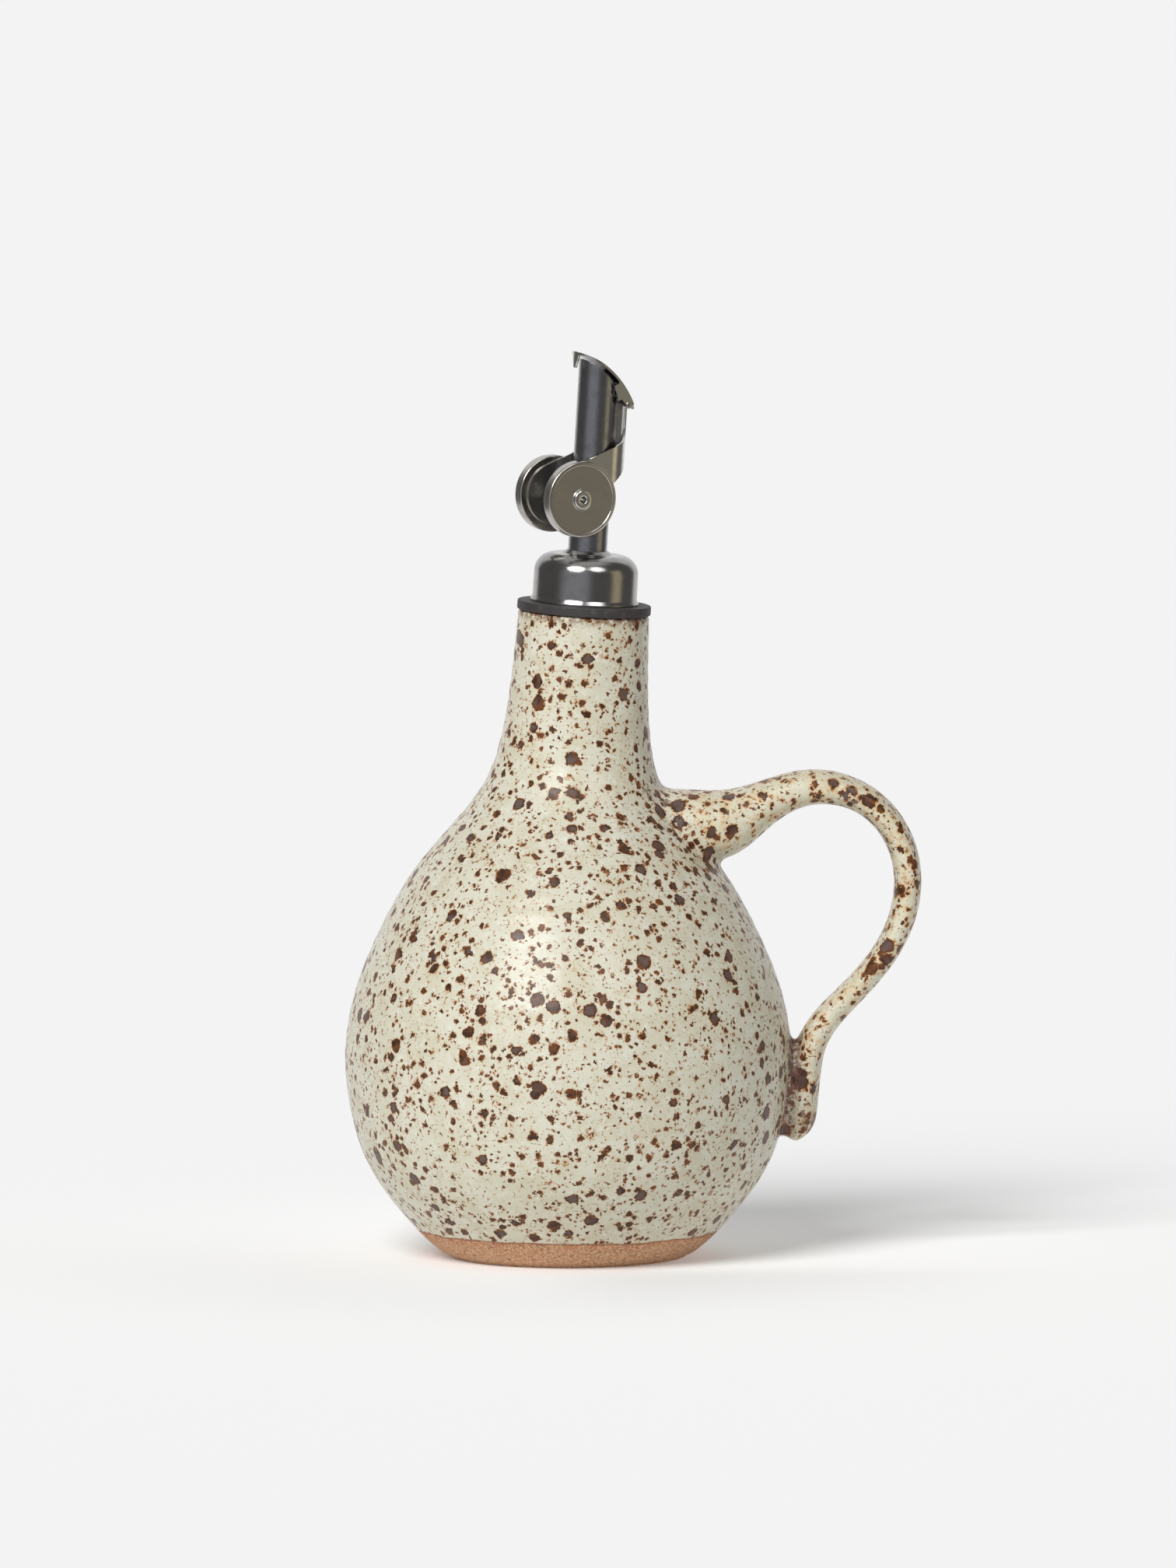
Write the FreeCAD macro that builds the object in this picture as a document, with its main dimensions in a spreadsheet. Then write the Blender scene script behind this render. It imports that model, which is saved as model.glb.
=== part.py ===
import FreeCAD, Part
import math
import os
import Sketcher
from FreeCAD import Vector

# Oil cruet: a thrown stoneware bottle with a pulled handle, closed by a rubber stopper
# that carries a steel pourer with a weighted flap.
# Millimetres, +Z up. The origin is the centre of the bottle's flat foot, +X runs to the
# handle and the hinge axis lies across the pouring direction.

doc = FreeCAD.newDocument("oil_cruet")
sizes = doc.addObject("Spreadsheet::Sheet", "sizes")

# Driving dimensions, in millimetres and degrees
SIZES = {
    # Bottle rings, from the foot up: rise above the ring below, and outer radius
    "foot_radius": 30.9,
    "heel_rise": 4,
    "heel_radius": 35.9,
    "flare_rise": 8,
    "flare_radius": 43.5,
    "hip_rise": 12,
    "hip_radius": 51.9,
    "low_belly_rise": 14,
    "low_belly_radius": 56.3,
    "belly_rise": 14,
    "belly_radius": 57.7,
    "high_belly_rise": 16,
    "high_belly_radius": 55.3,
    "shoulder_rise": 16,
    "shoulder_radius": 48.9,
    "slope_rise": 16,
    "slope_radius": 39.7,
    "throat_rise": 12,
    "throat_radius": 29.9,
    "collar_rise": 10,
    "collar_radius": 22.9,
    "neck_rise": 12,
    "neck_radius": 19.3,
    "upper_neck_rise": 16,
    "upper_neck_radius": 17.6,
    "rim_rise": 16.4,
    "rim_radius": 16.9,
    # Inside of the bottle
    "wall": 5.8,
    "base_thickness": 7,
    "well_step": 3.5,
    "bore_radius": 11.5,
    # The neck leans towards the handle, from a little below the slope ring
    "lean_angle": 3.4,
    "lean_start": 1.3,
    # Rubber stopper
    "flange_overhang": 0.3,
    "flange_thickness": 2.4,
    "flange_rounding": 0.7,
    "plug_length": 23,
    "plug_gap": 2.1,
    "plug_taper": 1,
    "fin_count": 4,
    "fin_first": 3.2,
    "fin_last": 3.6,
    "fin_thickness": 1.5,
    "fin_taper": 1.1,
    "fin_clearance": 0.1,
    "boss_headroom": 5.05,
    # Pressed steel cap
    "cap_height": 12.65,
    "cap_flare": 0.45,
    "cap_inset": 3.7,
    "cap_shoulder": 5,
    "cap_sheet": 0.6,
    "cap_collar_width": 1.5,
    "cap_collar_height": 0.9,
    "cap_collar_lip": 0.18,
    # Pour tube and its breather
    "tube_radius": 5,
    "tube_wall": 0.7,
    "tip_rise": 11.3,
    "mouth_fall": 8.6,
    "mouth_arc_radius": 35,
    "seat_gap": 0.05,
    "breather_radius": 1.25,
    "breather_wall": 0.3,
    "breather_inset": 19.3,
    "breather_drop": 10,
    # Hinge behind the tube, and the way the mouth faces
    "pour_turn": 29,
    "hinge_gap": 1.4,
    "pin_radius": 0.5,
    "pin_head_radius": 0.85,
    "pin_head_thickness": 0.45,
    "pin_clearance": 0.05,
    "lug_radius": 0.9,
    "lug_half_width": 1.8,
    "lug_tail": 3.6,
    "lug_tail_depth": 0.3,
    "weld_gap": 0.02,
    # Flap, folded from one sheet
    "sheet": 0.6,
    "lid_side_gap": 0.6,
    "lid_overlap": 2.1,
    "lid_overhang": 1.6,
    "lid_arc_radius": 25.3,
    "lid_arc_ahead": 14.6,
    "lid_arc_drop": 11,
    "lip_rise": 9,
    "lip_point": 0.5,
    "lip_spread": 2.2,
    "yoke_side_gap": 1,
    "yoke_centre": 2.3,
    "strap_half_width": 3.3,
    "strap_bend": 4.2,
    "arm_reach": 24.2,
    "arm_rise": 24.2,
    "arm_foot_rise": 3.7,
    "arm_foot_back": 2.9,
    "arm_foot_slope": 41,
    "lobe_radius": 7.9,
    # Counterweights and their rivets
    "weight_forward": 7.4,
    "weight_clearance": 4.85,
    "weight_radius": 9.9,
    "weight_thickness": 3.2,
    "weight_rounding": 0.8,
    "weight_inner_rounding": 0.4,
    "rivet_radius": 1.5,
    "rivet_bore": 0.85,
    "rivet_head_radius": 2.5,
    "rivet_head_thickness": 0.5,
    "rivet_rounding": 0.3,
    "rivet_tail_radius": 2.2,
    "rivet_tail_thickness": 0.35,
    # How far the shapes that cut or trim run past what they work on
    "overcut": 2,
}

# The handle's stations along its centre line, from the root down to the lower end: the ring
# of the body that each is measured from, how far it stands out of and above that ring, the
# lean of the strap from upright, its thickness and its width
HANDLE = [
    ("throat", -7.9, -2.4, 88, 22.6, 24.0),
    ("throat", 3.1, -1.2, 84, 19.4, 25.0),
    ("throat", 11.6, 0.2, 76, 16.8, 23.0),
    ("throat", 18.7, 3.9, 66, 12.6, 20.0),
    ("throat", 32.7, 9.1, 85, 9.2, 15.8),
    ("throat", 47.3, 5.2, 128, 7.8, 14.6),
    ("shoulder", 37.4, 20.2, 161, 7.3, 14.4),
    ("shoulder", 37.0, 3.6, 195, 7.1, 14.4),
    ("high_belly", 19.3, 1.8, 221, 6.8, 14.4),
    ("belly", 5.3, 3.6, 209, 7.8, 14.8),
    ("belly", 3.1, -5.5, 187, 8.4, 15.4),
    ("low_belly", 3.8, 0.4, 184, 8.2, 15.4),
    ("low_belly", 2.6, -5.4, 193, 6.4, 12.4),
    ("low_belly", 1.1, -7.8, 200, 3.4, 7.0),
]
HANDLE_WORDS = ("out", "up", "lean", "thick", "wide")
for number, (_, *values) in enumerate(HANDLE):
    for word, value in zip(HANDLE_WORDS, values):
        SIZES["handle_%s_%d" % (word, number)] = value

# The front edge of the lid's cheeks, from the top down: ahead of the hinge and above it
CHEEK = [(3.1, 5.6), (4.4, 4.9), (3.9, 3.6), (3.25, 2.1), (3.2, 1.0), (1.9, 1.4)]
for number, (ahead, above) in enumerate(CHEEK):
    SIZES["cheek_ahead_%d" % number] = ahead
    SIZES["cheek_above_%d" % number] = above

# Rings of the outer surface, from the foot up; each one's height is its rise above the last
RINGS = [
    "heel", "flare", "hip", "low_belly", "belly", "high_belly", "shoulder", "slope",
    "throat", "collar", "neck", "upper_neck", "rim",
]
RULES = {"heel_height": "heel_rise"}
for below, ring in zip(RINGS, RINGS[1:]):
    RULES[ring + "_height"] = "{0}_height + {1}_rise".format(below, ring)

# Places and sizes that follow from others. Heights of the pourer are above the rim, its
# weights clear the cap, its hinge stands above them, and the lid and the tip go with it
RULES.update({
    "lean_pivot": "slope_height - lean_start",
    "flange_radius": "rim_radius + flange_overhang",
    "plug_top_radius": "bore_radius - plug_gap",
    "plug_tip_radius": "plug_top_radius - plug_taper",
    "fin_pitch": "(plug_length - fin_first - fin_thickness - fin_last) / (fin_count - 1)",
    "boss_height": "cap_height - cap_sheet - boss_headroom",
    "cap_top_radius": "flange_radius - cap_inset",
    "cap_foot_radius": "cap_top_radius + cap_flare",
    "cap_collar_radius": "tube_radius + cap_collar_width",
    "weight_height": "flange_thickness + cap_height + weight_clearance + weight_radius",
    "hinge_height": "weight_height + arm_reach",
    "hinge_back": "tube_radius + hinge_gap",
    "tube_tip": "hinge_height + tip_rise",
    "mouth_chord": "sqrt(tube_radius ^ 2 + mouth_fall ^ 2 / 4)",
    "mouth_arc_depth": "sqrt(mouth_arc_radius ^ 2 - mouth_chord ^ 2)",
    "mouth_arc_ahead": "mouth_fall / 2 / mouth_chord * mouth_arc_depth",
    "mouth_arc_height": (
        "tube_tip - mouth_fall / 2 - tube_radius / mouth_chord * mouth_arc_depth"),
    "breather_top": "tube_tip - breather_inset",
    "lid_half_width": "tube_radius + lid_side_gap",
    "lid_front": "tube_radius + lid_overlap",
    "lid_back": "hinge_back + lid_overhang",
    "lid_arc_height": "hinge_height - lid_arc_drop",
    "lip_height": "hinge_height + lip_rise",
    "yoke_half_width": "tube_radius + yoke_side_gap",
    "arm_foot_height": "weight_height + arm_foot_rise",
})

CELLS = {**SIZES, **{alias: "=" + rule for alias, rule in RULES.items()}}
for row, (alias, content) in enumerate(CELLS.items(), start=1):
    sizes.set("A%d" % row, alias)
    sizes.set("B%d" % row, str(content))
    sizes.setAlias("B%d" % row, alias)
doc.recompute()

# Frames as expressions: the neck's leaned frame has its origin at the centre of the rim,
# and the flap's frame is the neck's, turned so that its -X is the pouring direction
LEAN_RUN = "(sizes.rim_height - sizes.lean_pivot) * tan(sizes.lean_angle)"
NECK = (
    "placement(vector({0}; 0; sizes.rim_height); rotation(vector(0; 1; 0); sizes.lean_angle))"
).format(LEAN_RUN)
TURN = "placement(vector(0; 0; 0); rotation(vector(0; 0; 1); sizes.pour_turn))"
FLAP = NECK + " * " + TURN

# Half the length of a cut or trim that goes through the whole width of the flap
THROUGH = "(2 * sizes.yoke_half_width)"

# Two lengths that differ by less than this count as the same
CLOSE = 1e-3


def size(expression):
    """Return the number that an expression on the sheet gives."""
    return float(sizes.evalExpression(expression))


def bound(kind, name, **expressions):
    """Add an object whose properties are tied to the sheet by expressions."""
    item = doc.addObject(kind, name)
    for prop, expression in expressions.items():
        item.setExpression(prop, expression)
    return item


def at(x="0", y="0", z="0"):
    """Return a placement expression that only moves."""
    return "placement(vector({0}; {1}; {2}); rotation(vector(0; 0; 1); 0))".format(x, y, z)


def turned_to(axis, angle):
    """Return a placement expression that only turns about an axis such as 1; 0; 0."""
    return "placement(vector(0; 0; 0); rotation(vector({0}); {1}))".format(axis, angle)


def cylinder(name, radius, height, place):
    """Add a cylinder with its radius, height and placement tied to the sheet."""
    return bound("Part::Cylinder", name, Radius=radius, Height=height, Placement=place)


def across(name, radius, half_length, ahead, height):
    """Add a cylinder that lies across the flap, centred on the flap's middle plane."""
    place = FLAP + " * " + at(ahead, half_length, height) + " * " + turned_to("1; 0; 0", "90")
    return cylinder(name, radius, "2 * " + half_length, place)


def cone(name, low_radius, high_radius, height, place):
    """Add a cone frustum with its sizes and placement tied to the sheet."""
    return bound(
        "Part::Cone", name, Radius1=low_radius, Radius2=high_radius, Height=height,
        Placement=place)


def block(name, length, width, height, place):
    """Add a box with its sizes and placement tied to the sheet."""
    return bound(
        "Part::Box", name, Length=length, Width=width, Height=height, Placement=place)


def cut(name, base, tool):
    """Subtract one object from another."""
    result = doc.addObject("Part::Cut", name)
    result.Base = base
    result.Tool = tool
    return result


def join(name, pieces):
    """Fuse several objects into one."""
    result = doc.addObject("Part::MultiFuse", name)
    result.Shapes = pieces
    result.Refine = True
    return result


def common(name, pieces):
    """Keep what several objects share."""
    result = doc.addObject("Part::MultiCommon", name)
    result.Shapes = pieces
    return result


def rounded(name, base, radius, chosen):
    """Round the edges of an object that a test picks."""
    doc.recompute()
    reach = size(radius)
    edges = [
        (number, reach, reach)
        for number, edge in enumerate(base.Shape.Edges, start=1)
        if chosen(edge)
    ]
    result = doc.addObject("Part::Fillet", name)
    result.Base = base
    result.Edges = edges
    return result


def draw(sketch, corners):
    """Draw a closed outline of straight edges, with each corner tied to the sheet."""
    spots = [Vector(size(across), size(up), 0) for across, up in corners]
    count = len(spots)
    for index in range(count):
        edge = Part.LineSegment(spots[index], spots[(index + 1) % count])
        sketch.addGeometry(edge, False)
    for index in range(count):
        sketch.addConstraint(Sketcher.Constraint("Coincident", index, 2, (index + 1) % count, 1))
    for index, corner in enumerate(corners):
        for kind, expression in zip(("DistanceX", "DistanceY"), corner):
            rule = Sketcher.Constraint(kind, -1, 1, index, 1, size(expression))
            number = sketch.addConstraint(rule)
            sketch.setExpression("Constraints[%d]" % number, expression)


def origin_plane(body, role):
    """Return a body's own origin plane by its role."""
    return next(item for item in body.Origin.OriginFeatures if item.Role == role)


def sketch_in(body, name, role):
    """Add an empty sketch on one of a body's own origin planes."""
    sketch = body.newObject("Sketcher::SketchObject", name)
    sketch.AttachmentSupport = [(origin_plane(body, role), "")]
    sketch.MapMode = "FlatFace"
    return sketch


def turned(name, corners):
    """Make a body by turning an outline of radius and height about its own Z axis."""
    body = doc.addObject("PartDesign::Body", name)
    sketch = sketch_in(body, name + "_outline", "XZ_Plane")
    draw(sketch, corners)
    feature = body.newObject("PartDesign::Revolution", name + "_turning")
    feature.Profile = (sketch, [""])
    feature.ReferenceAxis = (sketch, ["V_Axis"])
    feature.Angle = 360
    doc.recompute()
    return body


def round_body(body, name, radius, chosen):
    """Round the edges of a body's tip that a test picks."""
    tip = body.Tip
    feature = body.newObject("PartDesign::Fillet", name)
    edges = [
        "Edge%d" % number
        for number, edge in enumerate(tip.Shape.Edges, start=1)
        if chosen(edge)
    ]
    feature.Base = (tip, edges)
    feature.setExpression("Radius", radius)
    doc.recompute()
    return body


def prism(name, corners, half_length=THROUGH):
    """Extrude an outline of the flap's side view to both sides of its middle plane."""
    sketch = doc.addObject("Sketcher::SketchObject", name + "_outline")
    sketch.setExpression("Placement", FLAP + " * " + turned_to("1; 0; 0", "90"))
    draw(sketch, corners)
    result = doc.addObject("Part::Extrusion", name)
    result.Base = sketch
    result.DirMode = "Normal"
    result.Symmetric = True
    result.Solid = True
    result.setExpression("LengthFwd", "2 * " + half_length)
    return result


def is_circle(radius):
    """Return a test that picks circular edges of a radius."""
    wanted = size(radius)
    return lambda edge: (
        isinstance(edge.Curve, Part.Circle) and abs(edge.Curve.Radius - wanted) < CLOSE)


def is_ring(radius, height):
    """Return a test that picks circular edges of a radius at a height along Z."""
    same_radius = is_circle(radius)
    wanted = size(height)
    return lambda edge: same_radius(edge) and abs(edge.Curve.Center.z - wanted) < CLOSE


# Bottle: thrown body and neck, and the pulled handle that is fired on


def ring_place(height):
    """Place a ring on the body's axis, or above the pivot on the leaned neck's axis."""
    above = max(0, height - size("sizes.lean_pivot"))
    share = min(1, above / size("sizes.neck_height - sizes.lean_pivot"))
    lean = size("sizes.lean_angle")
    shift = above * math.tan(math.radians(lean))
    return FreeCAD.Placement(
        Vector(shift, 0, height), FreeCAD.Rotation(Vector(0, 1, 0), lean * share))


def thrown(name, rings):
    """Turn a smooth outline through rings of height and radius, with the neck leaned.

    The turned surface's control rows are moved one by one onto the leaned axis, so that
    the wall stays smooth where the lean begins.
    """
    outline = Part.BSplineCurve()
    outline.interpolate([Vector(size(radius), 0, size(height)) for height, radius in rings])
    turned_wall = outline.toShape().revolve(Vector(0, 0, 0), Vector(0, 0, 1), 360)
    wall = turned_wall.toNurbs().Faces[0].Surface
    for column, poles in enumerate(wall.getPoles(), start=1):
        for row, pole in enumerate(poles, start=1):
            leaned = ring_place(pole.z).multVec(Vector(pole.x, pole.y, 0))
            wall.setPole(column, row, leaned)
    _, _, low, high = wall.bounds()
    ends = [Part.Face(Part.Wire(wall.vIso(level).toShape())) for level in (low, high)]
    shell = Part.Shell([wall.toShape()] + ends)
    shell.sewShape()
    solid = doc.addObject("Part::Feature", name)
    solid.Shape = Part.Solid(shell)
    return solid


def handle(wall):
    """Loft the pulled strap through oval sections square to its centre line, up to the wall."""
    ovals = []
    for number, (ring, *_) in enumerate(HANDLE):
        reach = "sizes.{0}_radius + sizes.handle_out_{1}".format(ring, number)
        rise = "sizes.{0}_height + sizes.handle_up_{1}".format(ring, number)
        tilt = turned_to("0; 1; 0", "sizes.handle_lean_%d" % number)
        ovals.append(bound(
            "Part::Ellipse", "handle_oval_%d" % number,
            MajorRadius="sizes.handle_wide_%d / 2" % number,
            MinorRadius="sizes.handle_thick_%d / 2" % number,
            Placement=" * ".join([at(reach, z=rise), tilt, turned_to("0; 0; 1", "90")])))
    strap = doc.addObject("Part::Loft", "handle_strap")
    strap.Sections = ovals
    strap.Solid = True
    return cut("handle", strap, wall)


def bottle(wall):
    """Hollow the thrown body and bore its neck."""
    inner = [("sizes.base_thickness", "sizes.heel_radius - sizes.wall - sizes.well_step / 2")]
    inner.append((
        "sizes.base_thickness + sizes.well_step",
        "sizes.flare_radius - sizes.wall - sizes.well_step"))
    inner += [
        ("sizes.%s_height" % ring, "sizes.%s_radius - sizes.wall" % ring)
        for ring in RINGS[2:10]
    ]
    inner.append(("sizes.neck_height", "sizes.bore_radius"))
    bore_length = "(sizes.rim_height - sizes.neck_height) / cos(sizes.lean_angle)"
    bore = cylinder(
        "neck_bore", "sizes.bore_radius", bore_length + " + sizes.overcut",
        NECK + " * " + at(z="-" + bore_length))
    hollow = join("hollow", [thrown("inner_wall", inner), bore])
    return cut("bottle", wall, hollow)


# Pourer


def rubber_stopper():
    """Mould the flange, the finned plug and the boss for the cap, bored for the tube."""
    flange = cylinder(
        "flange_blank", "sizes.flange_radius", "sizes.flange_thickness", NECK)
    soft_flange = rounded(
        "flange", flange, "sizes.flange_rounding", is_circle("sizes.flange_radius"))
    plug = cone(
        "plug", "sizes.plug_tip_radius", "sizes.plug_top_radius", "sizes.plug_length",
        NECK + " * " + at(z="-sizes.plug_length"))
    boss = cylinder(
        "boss", "sizes.cap_top_radius - sizes.cap_sheet - sizes.seat_gap",
        "sizes.flange_thickness + sizes.boss_height", NECK)
    fins = []
    for number in range(int(size("sizes.fin_count"))):
        top = "(sizes.fin_first + {0} * sizes.fin_pitch)".format(number)
        outer = "sizes.bore_radius - sizes.fin_clearance"
        fins.append(cone(
            "fin_%d" % number, outer + " - sizes.fin_taper", outer, "sizes.fin_thickness",
            NECK + " * " + at(z="-{0} - sizes.fin_thickness".format(top))))
    rubber = join("rubber", [soft_flange, plug, boss] + fins)
    hole = cylinder(
        "tube_hole", "sizes.tube_radius + sizes.seat_gap",
        "2 * sizes.overcut + sizes.plug_length + sizes.flange_thickness + sizes.boss_height",
        NECK + " * " + at(z="-sizes.plug_length - sizes.overcut"))
    return cut("rubber_stopper", rubber, hole)


def stopper_cap():
    """Press the domed cap, with a soft collar where the tube comes through."""
    foot = "sizes.cap_foot_radius"
    top = "sizes.cap_top_radius"
    tall = "sizes.cap_height"
    hole = "sizes.tube_radius + sizes.seat_gap"
    body = turned("stopper_cap", [
        (foot + " - sizes.cap_sheet", "0"),
        (foot, "0"),
        (top, tall),
        ("sizes.cap_collar_radius", tall),
        (hole + " + sizes.cap_collar_lip", tall + " + sizes.cap_collar_height"),
        (hole, tall + " + sizes.cap_collar_height"),
        (hole, tall + " - sizes.cap_sheet"),
        (top + " - sizes.cap_sheet", tall + " - sizes.cap_sheet"),
    ])
    round_body(body, "cap_shoulder_outside", "sizes.cap_shoulder", is_ring(top, tall))
    round_body(
        body, "cap_shoulder_inside", "sizes.cap_shoulder - sizes.cap_sheet",
        is_ring(top + " - sizes.cap_sheet", tall + " - sizes.cap_sheet"))
    body.setExpression("Placement", NECK + " * " + at(z="sizes.flange_thickness"))
    return body


def pour_tube():
    """Pad the tube's ring and cut its mouth on a slanting arc, long side on the pouring side."""
    body = doc.addObject("PartDesign::Body", "tube_body")
    ring = sketch_in(body, "tube_ring", "XY_Plane")
    for radius in ("sizes.tube_radius", "sizes.tube_radius - sizes.tube_wall"):
        circle = Part.Circle(Vector(0, 0, 0), Vector(0, 0, 1), size(radius))
        index = ring.addGeometry(circle, False)
        ring.addConstraint(Sketcher.Constraint("Coincident", index, 3, -1, 1))
        number = ring.addConstraint(Sketcher.Constraint("Radius", index, size(radius)))
        ring.setExpression("Constraints[%d]" % number, radius)
    pad = body.newObject("PartDesign::Pad", "tube_length")
    pad.Profile = (ring, [""])
    pad.setExpression("Length", "sizes.plug_length + sizes.tube_tip")
    body.setExpression("Placement", FLAP + " * " + at(z="-sizes.plug_length"))
    reach = "(sizes.tube_radius + sizes.overcut)"
    low = "(sizes.tube_tip - sizes.mouth_fall - sizes.overcut)"
    above = block(
        "above_mouth", "2 * " + reach, "2 * " + reach,
        "sizes.mouth_fall + 2 * sizes.overcut", FLAP + " * " + at("-" + reach, "-" + reach, low))
    arc = across(
        "mouth_arc", "sizes.mouth_arc_radius", THROUGH, "-sizes.mouth_arc_ahead",
        "sizes.mouth_arc_height")
    return cut("pour_tube", body, cut("mouth_cut", above, arc))


def breather():
    """Lay the thin breather against the back of the tube's bore."""
    length = "sizes.breather_top + sizes.plug_length + sizes.breather_drop"
    radius = "sizes.breather_radius"
    body = turned("air_tube", [
        (radius + " - sizes.breather_wall", "0"),
        (radius, "0"),
        (radius, length),
        (radius + " - sizes.breather_wall", length),
    ])
    back = "sizes.tube_radius - sizes.tube_wall - sizes.breather_radius - sizes.seat_gap"
    body.setExpression(
        "Placement",
        FLAP + " * " + at(x=back, z="-sizes.plug_length - sizes.breather_drop"))
    return body


def hinge_lug():
    """Weld the hinge lug to the back of the tube: an eye for the pin on a tapered web."""
    back = "sizes.hinge_back"
    middle = "sizes.hinge_height"
    top = "sizes.hinge_height + sizes.lug_radius"
    tail = "sizes.hinge_height - sizes.lug_tail"
    root = "sizes.tube_radius - sizes.tube_wall"
    eye = across("lug_eye", "sizes.lug_radius", "sizes.lug_half_width", back, middle)
    web = prism("lug_web", [
        (root, top),
        (back, top),
        (back, middle),
        (back + " + sizes.lug_radius", middle),
        ("sizes.tube_radius + sizes.lug_tail_depth", tail),
        (root, tail),
    ], "sizes.lug_half_width")
    saddle = cylinder(
        "lug_saddle", "sizes.tube_radius + sizes.weld_gap", "sizes.tube_tip", FLAP)
    pin_hole = across("lug_pin_hole", "sizes.pin_radius", THROUGH, back, middle)
    return cut("hinge_lug", join("lug_blank", [eye, web]), join("lug_cuts", [saddle, pin_hole]))


def hinge_pin():
    """Turn the pin with a head outside each of the lid's cheeks."""
    half = "(sizes.lid_half_width + sizes.pin_clearance)"
    head = "(sizes.lid_half_width + sizes.pin_clearance + sizes.pin_head_thickness)"
    body = turned("hinge_pin", [
        ("0", "-" + head),
        ("sizes.pin_head_radius", "-" + head),
        ("sizes.pin_head_radius", "-" + half),
        ("sizes.pin_radius", "-" + half),
        ("sizes.pin_radius", half),
        ("sizes.pin_head_radius", half),
        ("sizes.pin_head_radius", head),
        ("0", head),
    ])
    body.setExpression(
        "Placement",
        FLAP + " * " + at("sizes.hinge_back", "0", "sizes.hinge_height")
        + " * " + turned_to("1; 0; 0", "90"))
    return body


# Flap


def lid_arch(name, inset):
    """Return the round body that the lid's top is a part of, less an inset."""
    return across(
        name, "sizes.lid_arc_radius - " + inset, THROUGH, "-sizes.lid_arc_ahead",
        "sizes.lid_arc_height")


def lid_blank(name, inset):
    """Return the lid's block: its plan outline below the lid's arched top."""
    half = "(sizes.lid_half_width - {0})".format(inset)
    nose = "-(sizes.lid_front - sizes.lid_half_width)"
    low = "sizes.hinge_height - 2 * sizes.lug_radius"
    tall = "sizes.lid_arc_height + sizes.lid_arc_radius - ({0})".format(low)
    front = cylinder(name + "_front", half, tall, FLAP + " * " + at(nose, "0", low))
    rear = block(
        name + "_rear",
        "sizes.lid_back - {0} + sizes.lid_front - sizes.lid_half_width".format(inset),
        "2 * " + half, tall,
        FLAP + " * " + at(nose, "-" + half, low))
    plan = join(name + "_plan", [front, rear])
    return common(name, [plan, lid_arch(name + "_arch", inset)])


def lid():
    """Press the lid as a shallow scoop: arched top, front lip and hinge cheeks."""
    scoop = cut(
        "lid_scoop", lid_blank("lid_outside", "0"), lid_blank("lid_inside", "sizes.sheet"))
    ahead = "-sizes.lid_front - sizes.overcut"
    behind = "sizes.lid_back + sizes.overcut"
    above = "sizes.lid_arc_height + sizes.lid_arc_radius"
    below = "sizes.hinge_height - 4 * sizes.lug_radius"
    front = "sizes.hinge_back - sizes.cheek_ahead_0"
    cheek = [
        (
            "sizes.hinge_back - sizes.cheek_ahead_%d" % number,
            "sizes.hinge_height + sizes.cheek_above_%d" % number,
        )
        for number in range(len(CHEEK))
    ]
    window = prism("lid_window", [
        (ahead, above),
        (front, above),
    ] + cheek + [
        ("sizes.hinge_back - sizes.lug_radius", "sizes.hinge_height + sizes.lug_radius / 2"),
        ("sizes.hinge_back - sizes.lug_radius", "sizes.hinge_height - sizes.lug_radius / 2"),
        ("sizes.hinge_back - sizes.lug_radius / 2", "sizes.hinge_height - sizes.lug_radius"),
        ("sizes.hinge_back + sizes.lug_radius / 2", "sizes.hinge_height - sizes.lug_radius"),
        ("sizes.hinge_back + sizes.lug_radius", "sizes.hinge_height - sizes.lug_radius / 2"),
        (behind, "sizes.hinge_height - sizes.lug_radius / 2"),
        (behind, below),
        (ahead, below),
    ])
    opening = common("lid_opening", [window, lid_arch("lid_roof", "sizes.sheet")])
    beak = cone(
        "lip_beak", "sizes.lip_point", "sizes.lip_spread",
        "sizes.lid_arc_height + sizes.lid_arc_radius - sizes.lip_height",
        FLAP + " * " + at("-sizes.lid_front + sizes.sheet / 2", "0", "sizes.lip_height"))
    return join("lid", [cut("lid_shell", scoop, opening), common("lid_lip", [scoop, beak])])


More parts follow.
